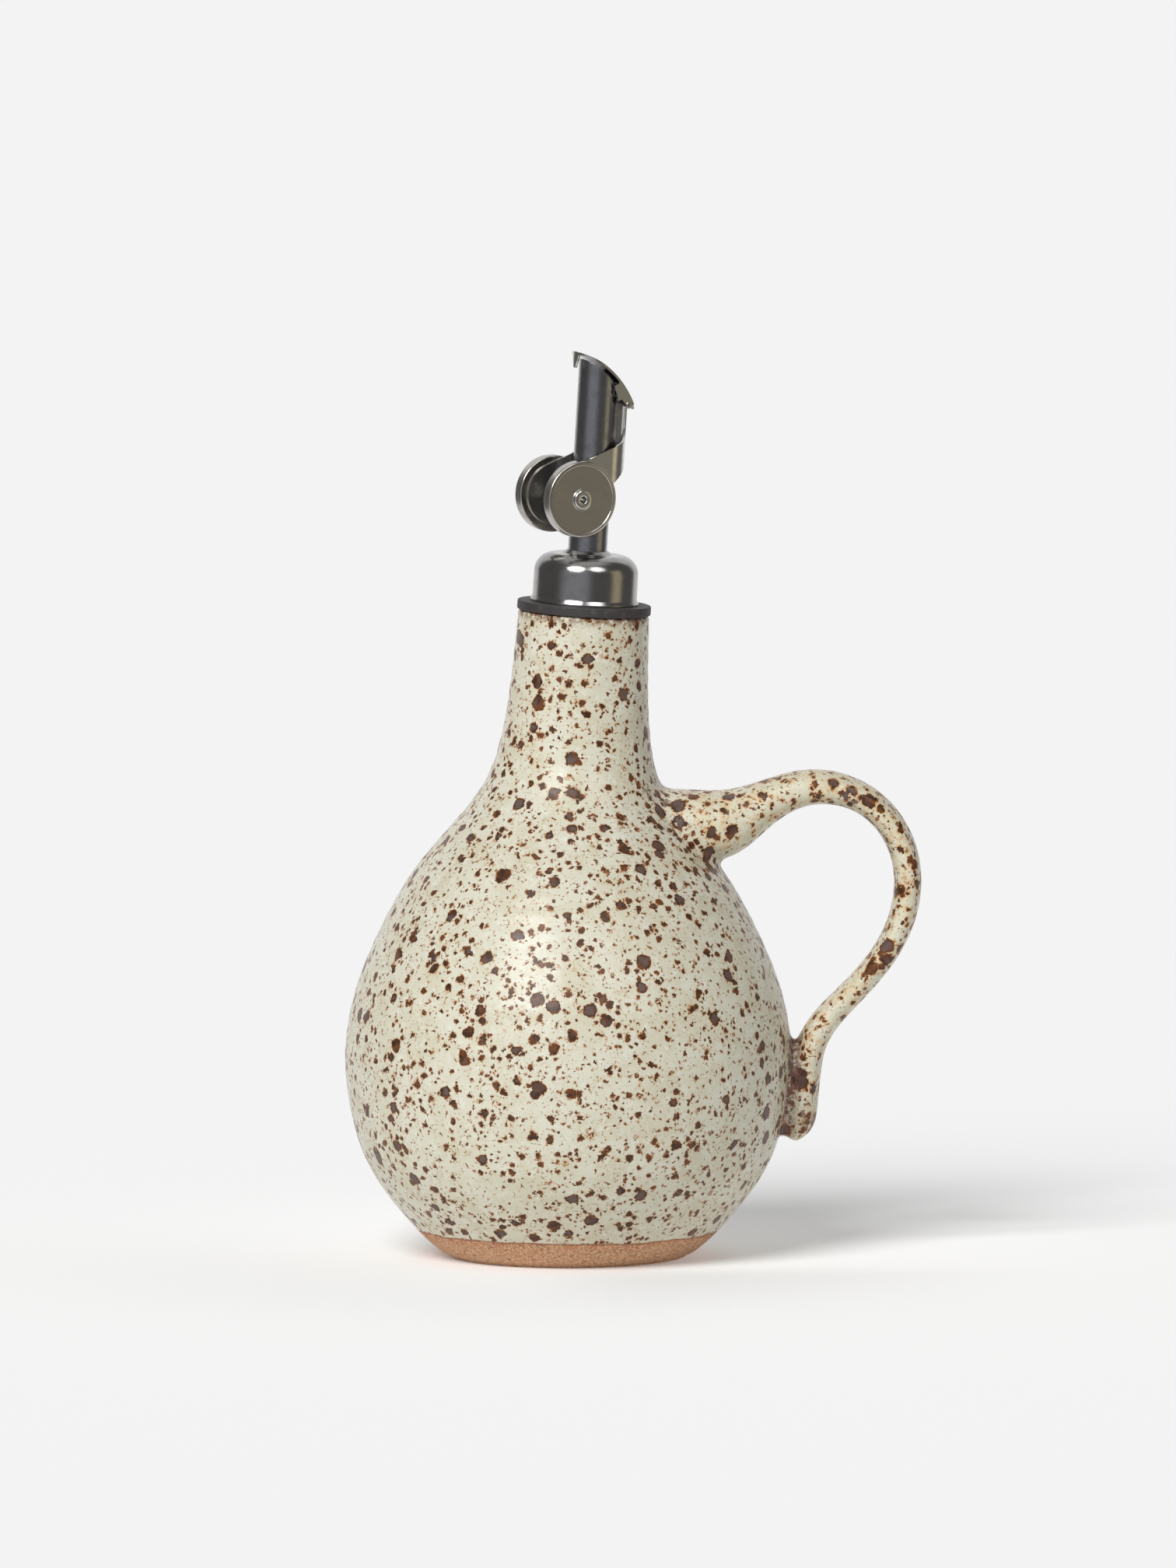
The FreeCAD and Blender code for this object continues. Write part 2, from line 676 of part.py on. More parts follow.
def yoke():
    """Bend the strap's lower end round the tube and trim it to its arms and lobes."""
    half = "sizes.yoke_half_width"
    low = "sizes.weight_height - sizes.lobe_radius"
    top = "(sizes.hinge_height + 2 * sizes.lug_radius)"
    tall = "{0} - ({1})".format(top, low)
    front = "-(sizes.weight_forward + sizes.lobe_radius + sizes.overcut)"

    def shell(name, inset):
        """Return the bend and its two flat sides as one solid of a half width."""
        radius = "({0} - {1})".format(half, inset)
        bend = cylinder(
            name + "_bend", radius, tall, FLAP + " * " + at("sizes.yoke_centre", "0", low))
        sides = block(
            name + "_sides", "sizes.yoke_centre - ({0})".format(front), "2 * " + radius, tall,
            FLAP + " * " + at(front, "-" + radius, low))
        return join(name, [bend, sides])

    channel = cut("channel", shell("channel_outside", "0"), shell("channel_inside", "sizes.sheet"))
    rise = "sizes.arm_rise"
    touch_x = "(-sizes.weight_forward - sizes.lobe_radius * sin({0}))".format(rise)
    touch_z = "(sizes.weight_height + sizes.lobe_radius * cos({0}))".format(rise)
    strap_x = (
        "(sizes.yoke_centre + sqrt(sizes.yoke_half_width ^ 2 - sizes.strap_half_width ^ 2))")
    bend_z = "{0} + ({1} - {2}) * tan({3})".format(touch_z, strap_x, touch_x, rise)
    back = "(sizes.yoke_centre + sizes.yoke_half_width + sizes.overcut)"
    foot_run = "({0} - sizes.arm_foot_back)".format(back)
    foot_z = "sizes.arm_foot_height + {0} * tan(sizes.arm_foot_slope)".format(foot_run)
    arm = prism("arm", [
        (touch_x, touch_z),
        (strap_x, bend_z),
        (strap_x, top),
        (back, top),
        (back, foot_z),
        ("sizes.arm_foot_back", "sizes.arm_foot_height"),
        ("-sizes.weight_forward", "sizes.weight_height - 0.5 * sizes.lobe_radius"),
    ])
    corner_x = size(strap_x)
    corner_z = size(bend_z)
    doc.recompute()
    frame = doc.getObject("arm_outline").Placement

    def at_bend(edge):
        """Pick the edge where the arms turn up into the strap."""
        middle = frame.inverse().multVec(edge.CenterOfMass)
        return abs(middle.x - corner_x) < CLOSE and abs(middle.y - corner_z) < CLOSE

    soft_arm = rounded("arm_rounded", arm, "sizes.strap_bend", at_bend)
    lobe = across(
        "lobe", "sizes.lobe_radius", THROUGH, "-sizes.weight_forward", "sizes.weight_height")
    side_view = join("side_view", [soft_arm, lobe])
    return common("yoke", [channel, side_view, lid_arch("strap_top", "0")])


def flap():
    """Join the lid and the yoke, and drill the pin's holes and the rivets' holes."""
    sheet = join("flap_sheet", [lid(), yoke()])
    pin_hole = across(
        "cheek_hole", "sizes.pin_radius + sizes.pin_clearance", THROUGH,
        "sizes.hinge_back", "sizes.hinge_height")
    rivet_hole = across(
        "rivet_hole", "sizes.rivet_radius + sizes.seat_gap", THROUGH,
        "-sizes.weight_forward", "sizes.weight_height")
    return cut("flap", sheet, join("flap_holes", [pin_hole, rivet_hole]))


def side_place(side):
    """Place a piece whose Z axis points out of one of the lobes; side is -1 or 1."""
    spot = at(
        "-sizes.weight_forward", "{0} * sizes.yoke_half_width".format(side),
        "sizes.weight_height")
    return FLAP + " * " + spot + " * " + turned_to("1; 0; 0", str(-90 * side))


def weight(name, side):
    """Turn a counterweight: a thick disc with soft edges and a hole for its rivet."""
    thick = "sizes.weight_thickness"
    body = turned(name, [
        ("sizes.rivet_radius + sizes.seat_gap", "0"),
        ("sizes.weight_radius", "0"),
        ("sizes.weight_radius", thick),
        ("sizes.rivet_radius + sizes.seat_gap", thick),
    ])
    round_body(
        body, name + "_outer_edge", "sizes.weight_rounding",
        is_ring("sizes.weight_radius", thick))
    round_body(
        body, name + "_inner_edge", "sizes.weight_inner_rounding",
        is_ring("sizes.weight_radius", "0"))
    body.setExpression("Placement", side_place(side))
    return body


def rivet(name, side):
    """Turn a hollow rivet: a head on the weight, a shank, and a tail inside the lobe."""
    inner = "-sizes.sheet"
    outer = "sizes.weight_thickness"
    body = turned(name, [
        ("sizes.rivet_bore", inner + " - sizes.rivet_tail_thickness"),
        ("sizes.rivet_tail_radius", inner + " - sizes.rivet_tail_thickness"),
        ("sizes.rivet_tail_radius", inner),
        ("sizes.rivet_radius", inner),
        ("sizes.rivet_radius", outer),
        ("sizes.rivet_head_radius", outer),
        ("sizes.rivet_head_radius", outer + " + sizes.rivet_head_thickness"),
        ("sizes.rivet_bore", outer + " + sizes.rivet_head_thickness"),
    ])
    round_body(
        body, name + "_head_edge", "sizes.rivet_rounding",
        is_ring("sizes.rivet_head_radius", outer + " + sizes.rivet_head_thickness"))
    body.setExpression("Placement", side_place(side))
    return body


outer_rings = [("0", "sizes.foot_radius")]
outer_rings += [("sizes.%s_height" % ring, "sizes.%s_radius" % ring) for ring in RINGS]
outer_wall = thrown("outer_wall", outer_rings)
pieces = [
    bottle(outer_wall),
    handle(outer_wall),
    rubber_stopper(),
    stopper_cap(),
    pour_tube(),
    breather(),
    hinge_lug(),
    hinge_pin(),
    flap(),
    weight("left_weight", -1),
    weight("right_weight", 1),
    rivet("left_weight_rivet", -1),
    rivet("right_weight_rivet", 1),
]
doc.recompute()

# Check the document, then write one file for each piece
faults = [
    "%s: %s" % (item.Name, ", ".join(item.State))
    for item in doc.Objects
    if "Invalid" in item.State or "Error" in item.State
]
for piece in pieces:
    piece.Label = piece.Name
    if piece.Shape.isNull() or not piece.Shape.isValid():
        faults.append("%s: no valid shape" % piece.Name)
if faults:
    raise RuntimeError("; ".join(faults))

os.makedirs("parts", exist_ok=True)
for piece in pieces:
    piece.Shape.exportStep("parts/%s.step" % piece.Label)
    print("%s: %d solid, %.0f mm3" % (piece.Label, len(piece.Shape.Solids), piece.Shape.Volume))
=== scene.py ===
"""Looks of the oil cruet: speckled stoneware bottle, rubber stopper and steel pourer.

Lengths in the classes are millimetres in the part's own frame, +Z up, and meshes are metres.
"""

import logging
import math
from collections.abc import Callable
from dataclasses import dataclass
from enum import Enum

import bmesh
import bpy
import numpy as np
from mathutils import Matrix, Vector


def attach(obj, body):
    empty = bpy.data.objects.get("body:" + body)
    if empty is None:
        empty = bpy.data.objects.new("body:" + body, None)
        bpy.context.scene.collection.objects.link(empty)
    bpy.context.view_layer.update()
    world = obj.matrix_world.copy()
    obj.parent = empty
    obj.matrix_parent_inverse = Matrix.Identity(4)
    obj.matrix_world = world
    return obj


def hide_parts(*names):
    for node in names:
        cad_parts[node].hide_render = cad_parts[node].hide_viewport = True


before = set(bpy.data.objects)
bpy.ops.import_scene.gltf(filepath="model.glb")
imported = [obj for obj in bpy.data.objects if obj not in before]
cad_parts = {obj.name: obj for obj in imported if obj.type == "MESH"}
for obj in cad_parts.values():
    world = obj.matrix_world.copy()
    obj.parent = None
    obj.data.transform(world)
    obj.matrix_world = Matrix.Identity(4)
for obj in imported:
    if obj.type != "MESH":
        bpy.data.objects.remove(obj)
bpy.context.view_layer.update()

MM = 0.001
LOG = logging.getLogger("oil_cruet")

Rgb = tuple[int, int, int]
Span = tuple[float, float]
Triple = tuple[float, float, float]


# Shape maths


@dataclass(frozen=True)
class Axes:
    """A placed frame: its origin in millimetres and its three directions as columns."""

    origin: Triple
    turn: tuple[Triple, ...]

    def place(self, points: np.ndarray) -> np.ndarray:
        """Return points of this frame in the part's frame, still in millimetres."""
        return points @ np.array(self.turn).T + np.array(self.origin)

    def shifted(self, offset: Triple) -> "Axes":
        """Return the same directions with the origin moved within the frame."""
        return Axes(tuple(self.place(np.array(offset))), self.turn)

    def turned(self, extra: np.ndarray) -> "Axes":
        """Return the frame turned by one more rotation of its own axes."""
        return Axes(self.origin, tuple(map(tuple, np.array(self.turn) @ extra)))


def rotation(axis: str, degrees: float) -> np.ndarray:
    """Return the rotation matrix of an angle about X, Y or Z."""
    return np.array(Matrix.Rotation(math.radians(degrees), 3, axis))


CUT_EDGE = 30.0
LEAN = 3.4
LEAN_SLOPE = math.tan(math.radians(LEAN))
LEAN_PIVOT = 98.7
RIM = 166.4
NECK = Axes(
    ((RIM - LEAN_PIVOT) * LEAN_SLOPE, 0.0, RIM),
    tuple(map(tuple, rotation("Y", LEAN))),
)
FLAP = NECK.turned(rotation("Z", 29.0))
WORLD = Axes((0.0, 0.0, 0.0), tuple(map(tuple, np.eye(3))))


def smooth_through(stations: np.ndarray, count: int) -> np.ndarray:
    """Interpolate rows of numbers with a natural cubic spline.

    The parameter is the chord length over the first two columns. The second derivatives come
    from the usual three-term equations, with zero at both ends.

    Args:
        stations: One row for each station.
        count: How many rows to return.

    Returns:
        The rows at even steps of the parameter.
    """
    steps = np.linalg.norm(np.diff(stations[:, :2], axis=0), axis=1)
    knots = np.concatenate([[0.0], np.cumsum(steps)])
    size = len(knots)
    system = np.eye(size)
    inner = np.arange(1, size - 1)
    system[inner, inner - 1] = steps[:-1]
    system[inner, inner] = 2 * (steps[:-1] + steps[1:])
    system[inner, inner + 1] = steps[1:]
    slopes = np.diff(stations, axis=0) / steps[:, None]
    right = np.zeros_like(stations)
    right[1:-1] = 6 * np.diff(slopes, axis=0)
    bend = np.linalg.solve(system, right)
    where = np.linspace(0.0, knots[-1], count)
    span = np.clip(np.searchsorted(knots, where, side="right") - 1, 0, size - 2)
    width = steps[span][:, None]
    after = (where - knots[span])[:, None]
    before = width - after
    return (
        bend[span] * before**3 / (6 * width)
        + bend[span + 1] * after**3 / (6 * width)
        + (stations[span] / width - bend[span] * width / 6) * before
        + (stations[span + 1] / width - bend[span + 1] * width / 6) * after
    )


def soften(corners: list[Triple], steps: int = 6) -> np.ndarray:
    """Round the corners of an outline of radius and height.

    Each corner holds its own rounding radius. The arc starts and ends at the radius over the
    tangent of half the corner's angle, and lies on a circle about a point on the bisector.

    Args:
        corners: Radius, height and rounding of each corner, in order.
        steps: How many spans each arc gets.

    Returns:
        The outline's points as rows of radius and height.
    """
    points = np.array(corners)[:, :2]
    rounds = np.array(corners)[:, 2]
    made = [points[:1]]
    for before, corner, after, radius in zip(points, points[1:], points[2:], rounds[1:]):
        if radius <= 0:
            made.append(corner[None])
            continue
        back = (before - corner) / np.linalg.norm(before - corner)
        ahead = (after - corner) / np.linalg.norm(after - corner)
        half = math.acos(float(np.clip(back @ ahead, -1, 1))) / 2
        middle = (back + ahead) / np.linalg.norm(back + ahead)
        centre = corner + middle * radius / math.sin(half)
        start = corner + back * radius / math.tan(half) - centre
        end = corner + ahead * radius / math.tan(half) - centre
        share = np.linspace(0, 1, steps + 1)[:, None]
        swing = math.pi - 2 * half
        made.append(
            centre + (np.sin((1 - share) * swing) * start + np.sin(share * swing) * end)
            / math.sin(swing))
    made.append(points[-1:])
    return np.concatenate(made)


def profile(rings: tuple[Span, ...], count: int) -> np.ndarray:
    """Return rows of radius and height on a smooth line through rings of height and radius."""
    return smooth_through(np.array(rings, float)[:, ::-1], count)


def revolved(outline: np.ndarray, columns: int) -> np.ndarray:
    """Return the grid of an outline turned about Z.

    A point is radius times the cosine and sine of its angle, at its own height.

    Args:
        outline: Rows of radius and height.
        columns: Points round each row.

    Returns:
        Points of shape rows, columns, 3.
    """
    angle = np.linspace(0, 2 * math.pi, columns, endpoint=False)
    radius = outline[:, :1]
    height = np.broadcast_to(outline[:, 1:2], (len(outline), columns))
    return np.stack([radius * np.cos(angle), radius * np.sin(angle), height], axis=-1)


def ripple(points: np.ndarray, wave: float, seed: int, terms: int = 9) -> np.ndarray:
    """Return smooth unevenness from 0 to 1: a sum of sines along fixed random directions.

    Args:
        points: Points in millimetres, of any shape that ends in 3.
        wave: The mean wavelength in millimetres.
        seed: Which set of directions to take.
        terms: How many sines are added.

    Returns:
        One number for each point.
    """
    random = np.random.default_rng(seed)
    directions = random.normal(size=(terms, 3))
    directions /= np.linalg.norm(directions, axis=1)[:, None]
    lengths = wave * random.uniform(0.6, 1.6, terms)
    phases = random.uniform(0, 2 * math.pi, terms)
    waves = np.sin(points @ (directions.T * 2 * math.pi / lengths) + phases)
    return 0.5 + 0.5 * waves.sum(axis=-1) / terms


# Meshes


def grid_piece(name: str, grid: np.ndarray, closed: bool = False) -> bpy.types.Object:
    """Make an object from a grid of points whose columns close round.

    A quad joins each point to the next column, to the next row's next column, and to the next
    row. Rows that lie in one point become its fan of triangles when doubles are merged.

    Args:
        name: The piece's name.
        grid: Points in millimetres, of shape rows, columns, 3.
        closed: Whether the last row joins the first.

    Returns:
        The new object.
    """
    rows, columns = grid.shape[:2]
    row = np.arange(rows if closed else rows - 1)[:, None]
    column = np.arange(columns)[None]
    above, beside = (row + 1) % rows, (column + 1) % columns
    quads = np.stack([
        row * columns + column, row * columns + beside,
        above * columns + beside, above * columns + column], axis=-1)
    mesh = bpy.data.meshes.new(name)
    mesh.from_pydata((grid.reshape(-1, 3) * MM).tolist(), [], quads.reshape(-1, 4).tolist())
    return add_piece(name, mesh)


def add_piece(name: str, mesh: bpy.types.Mesh, merge: float = 1e-7) -> bpy.types.Object:
    """Clean a mesh, shade it smooth and put it in the scene.

    Args:
        name: The piece's name.
        mesh: Its mesh, in metres in the part's frame.
        merge: How near two points are when they are merged.

    Returns:
        The new object, at the origin.
    """
    work = bmesh.new()
    work.from_mesh(mesh)
    bmesh.ops.remove_doubles(work, verts=work.verts, dist=merge)
    bmesh.ops.dissolve_degenerate(work, edges=work.edges, dist=merge)
    bmesh.ops.recalc_face_normals(work, faces=work.faces)
    work.to_mesh(mesh)
    work.free()
    mesh.shade_smooth()
    piece = bpy.data.objects.new(name, mesh)
    bpy.context.scene.collection.objects.link(piece)
    return piece


def modify(piece: bpy.types.Object, kind: str, **settings: object) -> bpy.types.Modifier:
    """Add a modifier.

    Args:
        piece: The piece.
        kind: The modifier's type name.
        settings: Its settings by name.

    Returns:
        The modifier.
    """
    modifier = piece.modifiers.new(kind.lower(), kind)
    for key, value in settings.items():
        setattr(modifier, key, value)
    return modifier


def settle(piece: bpy.types.Object) -> None:
    """Replace a piece's mesh by what its modifiers make of it.

    Args:
        piece: The piece.
    """
    graph = bpy.context.evaluated_depsgraph_get()
    graph.update()
    mesh = bpy.data.meshes.new_from_object(piece.evaluated_get(graph))
    piece.modifiers.clear()
    piece.data = mesh


def coordinates(mesh: bpy.types.Mesh) -> np.ndarray:
    """Read a mesh's points.

    Args:
        mesh: The mesh.

    Returns:
        One row for each point, in millimetres.
    """
    points = np.empty(len(mesh.vertices) * 3, np.float32)
    mesh.vertices.foreach_get("co", points)
    return points.reshape(-1, 3).astype(float) / MM


def store(mesh: bpy.types.Mesh, name: str, values: np.ndarray) -> None:
    """Keep one number for each point of a mesh, for its material to read."""
    layer = mesh.attributes.new(name, "FLOAT", "POINT")
    layer.data.foreach_set("value", values.astype(np.float32))


def turned_piece(
    name: str, outline: np.ndarray, place: Axes, columns: int = 96, closed: bool = True
) -> bpy.types.Object:
    """Turn an outline of radius and height into a piece that stands in a frame.

    Args:
        name: The piece's name.
        outline: Rows of radius and height in millimetres.
        place: The frame whose Z axis it is turned about.
        columns: Points round each row.
        closed: Whether the outline's end joins its start.

    Returns:
        The new object.
    """
    piece = grid_piece(name, place.place(revolved(outline, columns)), closed)
    modify(piece, "WEIGHTED_NORMAL", keep_sharp=False)
    return piece


def folded_copy(node: str) -> bpy.types.Object:
    """Copy a node's mesh, merge it, and shade it smooth between its cut edges.

    Args:
        node: The node that the copy stands for.

    Returns:
        The new object.
    """
    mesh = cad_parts[node].data.copy()
    mesh.materials.clear()
    piece = add_piece(node + "_sheet", mesh, 1e-6)
    piece.data.set_sharp_from_angle(angle=math.radians(CUT_EDGE))
    modify(piece, "WEIGHTED_NORMAL", keep_sharp=True)
    return piece


# Shader maths


def colour(display: Rgb) -> tuple[float, float, float, float]:
    """Turn a display colour into a linear one, by the usual curve of displays.

    Args:
        display: Red, green and blue from 0 to 255.

    Returns:
        Linear red, green and blue, and 1.
    """
    parts = [c / 255 for c in display]
    linear = [c / 12.92 if c <= 0.04045 else ((c + 0.055) / 1.055) ** 2.4 for c in parts]
    return (*linear, 1.0)


def maths_method(operation: str, swapped: bool = False) -> Callable[..., "Wire"]:
    """Make a method of Wire that adds one Math node.

    Args:
        operation: The node's operation.
        swapped: Whether the other number comes first.

    Returns:
        The method.
    """
    def method(self: "Wire", other: "Wire | float") -> "Wire":
        """Add the node for this number and the other."""
        return self.graph.maths(operation, *((other, self) if swapped else (self, other)))
    return method


class Wire:
    """A number that runs through a shader: arithmetic on it adds Math nodes."""

    __add__ = __radd__ = maths_method("ADD")
    __sub__ = maths_method("SUBTRACT")
    __rsub__ = maths_method("SUBTRACT", swapped=True)
    __mul__ = __rmul__ = maths_method("MULTIPLY")
    __truediv__ = maths_method("DIVIDE")
    __pow__ = maths_method("POWER")
    at_most = maths_method("MINIMUM")
    at_least = maths_method("MAXIMUM")
    below = maths_method("LESS_THAN")

    def __init__(self, graph: "Graph", socket: bpy.types.NodeSocket) -> None:
        """Keep the graph and the socket that the number comes from."""
        self.graph = graph
        self.socket = socket

    def __abs__(self) -> "Wire":
        """Drop the sign."""
        return self.graph.maths("ABSOLUTE", self)

    def rise(self, low: float, high: float) -> "Wire":
        """Return a smooth step from 0 at low to 1 at high."""
        node = self.graph.node(
            "ShaderNodeMapRange", {"interpolation_type": "SMOOTHSTEP"},
            {"Value": self, "From Min": low, "From Max": high})
        return Wire(self.graph, node.outputs["Result"])


class Graph:
    """The nodes of one material or world."""

    def __init__(self, owner: "bpy.types.Material | bpy.types.World") -> None:
        """Empty the owner's node tree and keep it.

        Args:
            owner: The material or world.
        """
        owner.use_nodes = True
        self.tree = owner.node_tree
        self.tree.nodes.clear()

    def node(
        self, kind: str, settings: dict[str, object] | None = None,
        inputs: dict[str | int, object] | None = None,
    ) -> bpy.types.Node:
        """Add a node, set it, then fill its sockets.

        Args:
            kind: The node's type name.
            settings: Its own settings, set before the sockets.
            inputs: Values, wires or sockets, by socket name or number.

        Returns:
            The node.
        """
        made = self.tree.nodes.new(kind)
        for key, value in (settings or {}).items():
            setattr(made, key, value)
        for key, value in (inputs or {}).items():
            source = value.socket if isinstance(value, Wire) else value
            if isinstance(source, bpy.types.NodeSocket):
                self.tree.links.new(source, made.inputs[key])
            else:
                made.inputs[key].default_value = source
        return made

    def maths(self, operation: str, *values: Wire | float) -> Wire:
        """Add a Math node on one or two values."""
        made = self.node("ShaderNodeMath", {"operation": operation}, dict(enumerate(values)))
        return Wire(self, made.outputs[0])

    def vector(self, operation: str, first: object, second: object) -> bpy.types.NodeSocket:
        """Add a Vector Math node.

        Args:
            operation: The node's operation.
            first: A vector.
            second: Another vector, or the scale where the operation is SCALE.

        Returns:
            The vector.
        """
        key = "Scale" if operation == "SCALE" else 1
        made = self.node(
            "ShaderNodeVectorMath", {"operation": operation}, {0: first, key: second})
        return made.outputs["Vector"]

    def blend(self, factor: Wire | float, low: object, high: object) -> bpy.types.NodeSocket:
        """Mix two colours. Three plain numbers are a display colour.

        Args:
            factor: 0 for the first colour, 1 for the second.
            low: The first colour.
            high: The second colour.

        Returns:
            The colour.
        """
        low, high = (
            colour(end) if isinstance(end, tuple) and len(end) == 3 else end
            for end in (low, high))
        made = self.node("ShaderNodeMix", {"data_type": "RGBA"}, {0: factor, 6: low, 7: high})
        return made.outputs[2]

    def cover(self, base: object, *coats: tuple[Wire, object]) -> object:
        """Lay coats over a colour, one after another.

        Args:
            base: The colour under the coats.
            coats: For each coat, how much it covers and its colour.

        Returns:
            The colour.
        """
        for share, coat in coats:
            base = self.blend(share, base, coat)
        return base

    def millimetres(self, place: Axes = WORLD) -> bpy.types.NodeSocket:
        """Return where a place is on the object.

        Args:
            place: The frame that it is measured in.

        Returns:
            The place in millimetres.
        """
        spot = self.node("ShaderNodeTexCoord").outputs["Object"]
        if place is not WORLD:
            turn = Matrix([list(row) for row in place.turn]).to_euler()
            spot = self.node("ShaderNodeMapping", {"vector_type": "TEXTURE"}, {
                "Vector": spot, "Rotation": turn,
                "Location": Vector(place.origin) * MM}).outputs["Vector"]
        return self.vector("SCALE", spot, 1 / MM)

    def split(self, vector: object) -> tuple[Wire, Wire, Wire]:
        """Return a vector's three parts."""
        made = self.node("ShaderNodeSeparateXYZ", None, {0: vector})
        return tuple(Wire(self, out) for out in made.outputs)

    def noise_node(
        self, spot: object, frequency: float, detail: float, rough: float
    ) -> bpy.types.Node:
        """Add a noise texture with a frequency for each millimetre."""
        return self.node("ShaderNodeTexNoise", None, {
            "Vector": spot, "Scale": frequency, "Detail": detail, "Roughness": rough})

    def noise(self, spot: object, size: float, detail: float = 2.0, rough: float = 0.5) -> Wire:
        """Return noise from 0 to 1 whose features are about a size in millimetres."""
        return Wire(self, self.noise_node(spot, 1 / size, detail, rough).outputs["Fac"])

    def shaken(
        self, place: object, spot: object, frequency: float, detail: float, rough: float,
        reach: float,
    ) -> bpy.types.NodeSocket:
        """Shift a place along each axis by noise.

        Args:
            place: What is shifted.
            spot: Where the noise is read.
            frequency: The noise's frequency for each millimetre.
            detail: The noise's detail.
            rough: The noise's roughness.
            reach: The whole range of the shift in millimetres.

        Returns:
            The shifted place.
        """
        made = self.noise_node(spot, frequency, detail, rough)
        shift = self.vector("SUBTRACT", made.outputs["Color"], (0.5, 0.5, 0.5))
        return self.vector("ADD", place, self.vector("SCALE", shift, reach))

    def stretched(self, spot: object, factors: Triple) -> object:
        """Return a vector with each part multiplied."""
        return self.vector("MULTIPLY", spot, factors)

    def attribute(self, name: str) -> Wire:
        """Return a number that the mesh keeps for each point."""
        made = self.node("ShaderNodeAttribute", {"attribute_name": name})
        return Wire(self, made.outputs["Fac"])

    def bump(self, height: Wire, depth: float) -> bpy.types.NodeSocket:
        """Return the normal of a height of 0 to 1 over a depth in millimetres."""
        made = self.node("ShaderNodeBump", None, {
            "Height": height, "Distance": depth * MM, "Strength": 1.0})
        return made.outputs["Normal"]

    def surface(self, inputs: dict[str | int, object]) -> None:
        """Finish the material with a Principled shader."""
        shader = self.node("ShaderNodeBsdfPrincipled", None, inputs)
        self.node("ShaderNodeOutputMaterial", None, {"Surface": shader.outputs[0]})


# Finishes


@dataclass(frozen=True)
class Speckles:
    """One size of iron spot: cells of a 3D Voronoi pattern, each with a ball of its own size.

    A spot shows where the distance to the cell's centre is less than the ball's radius.
    """

    cell: float
    smallest: float
    largest: float
    share: float
    edge: float
    halo: float
    offset: float

    def depth(self, graph: Graph, spot: object, crowd: Wire, swell: Wire) -> Wire:
        """Work out how deep inside a spot a place is.

        Args:
            graph: The material's nodes.
            spot: The place in millimetres.
            crowd: Multiplies the share of cells that hold a spot.
            swell: Multiplies the balls' radii.

        Returns:
            The ball's radius less the distance to its centre, below zero outside a spot.
        """
        shifted = graph.vector("ADD", spot, (self.offset, 2 * self.offset, -self.offset))
        cells = graph.node(
            "ShaderNodeTexVoronoi", {"feature": "F1"},
            {"Vector": shifted, "Scale": 1 / self.cell, "Randomness": 1.0})
        distance = Wire(graph, cells.outputs["Distance"]) * self.cell
        chance, luck, _ = graph.split(cells.outputs["Color"])
        shown = luck.below(crowd * self.share)
        radius = (chance**2.2 * (self.largest - self.smallest) + self.smallest) * swell
        return (radius + self.cell) * shown - self.cell - distance * shown


@dataclass(frozen=True)
class Mottle:
    """Noise of one size in millimetres, and the levels between which its patches set in."""

    size: float
    detail: float = 2.0
    rough: float = 0.5
    low: float = 0.0
    high: float = 1.0

    def level(self, graph: Graph, spot: object) -> Wire:
        """Return the noise itself, from 0 to 1."""
        return graph.noise(spot, self.size, self.detail, self.rough)

    def patches(self, graph: Graph, spot: object) -> Wire:
        """Return 1 in the patches and 0 between them."""
        return self.level(graph, spot).rise(self.low, self.high)


@dataclass(frozen=True)
class Place:
    """A place on the glaze: its spot in millimetres, and how much of it is each kind of ware."""

    graph: Graph
    spot: object
    handle: Wire
    joint: Wire
    edge: Wire

    @classmethod
    def of(cls, graph: Graph) -> "Place":
        """Read the place from the mesh."""
        marks = (graph.attribute(name) for name in ("handle", "joint", "edge"))
        return cls(graph, graph.millimetres(), *marks)

    def level(self, mottle: Mottle) -> Wire:
        """Return the noise of a mottle here."""
        return mottle.level(self.graph, self.spot)

    def patches(self, mottle: Mottle) -> Wire:
        """Return the patches of a mottle here."""
        return mottle.patches(self.graph, self.spot)


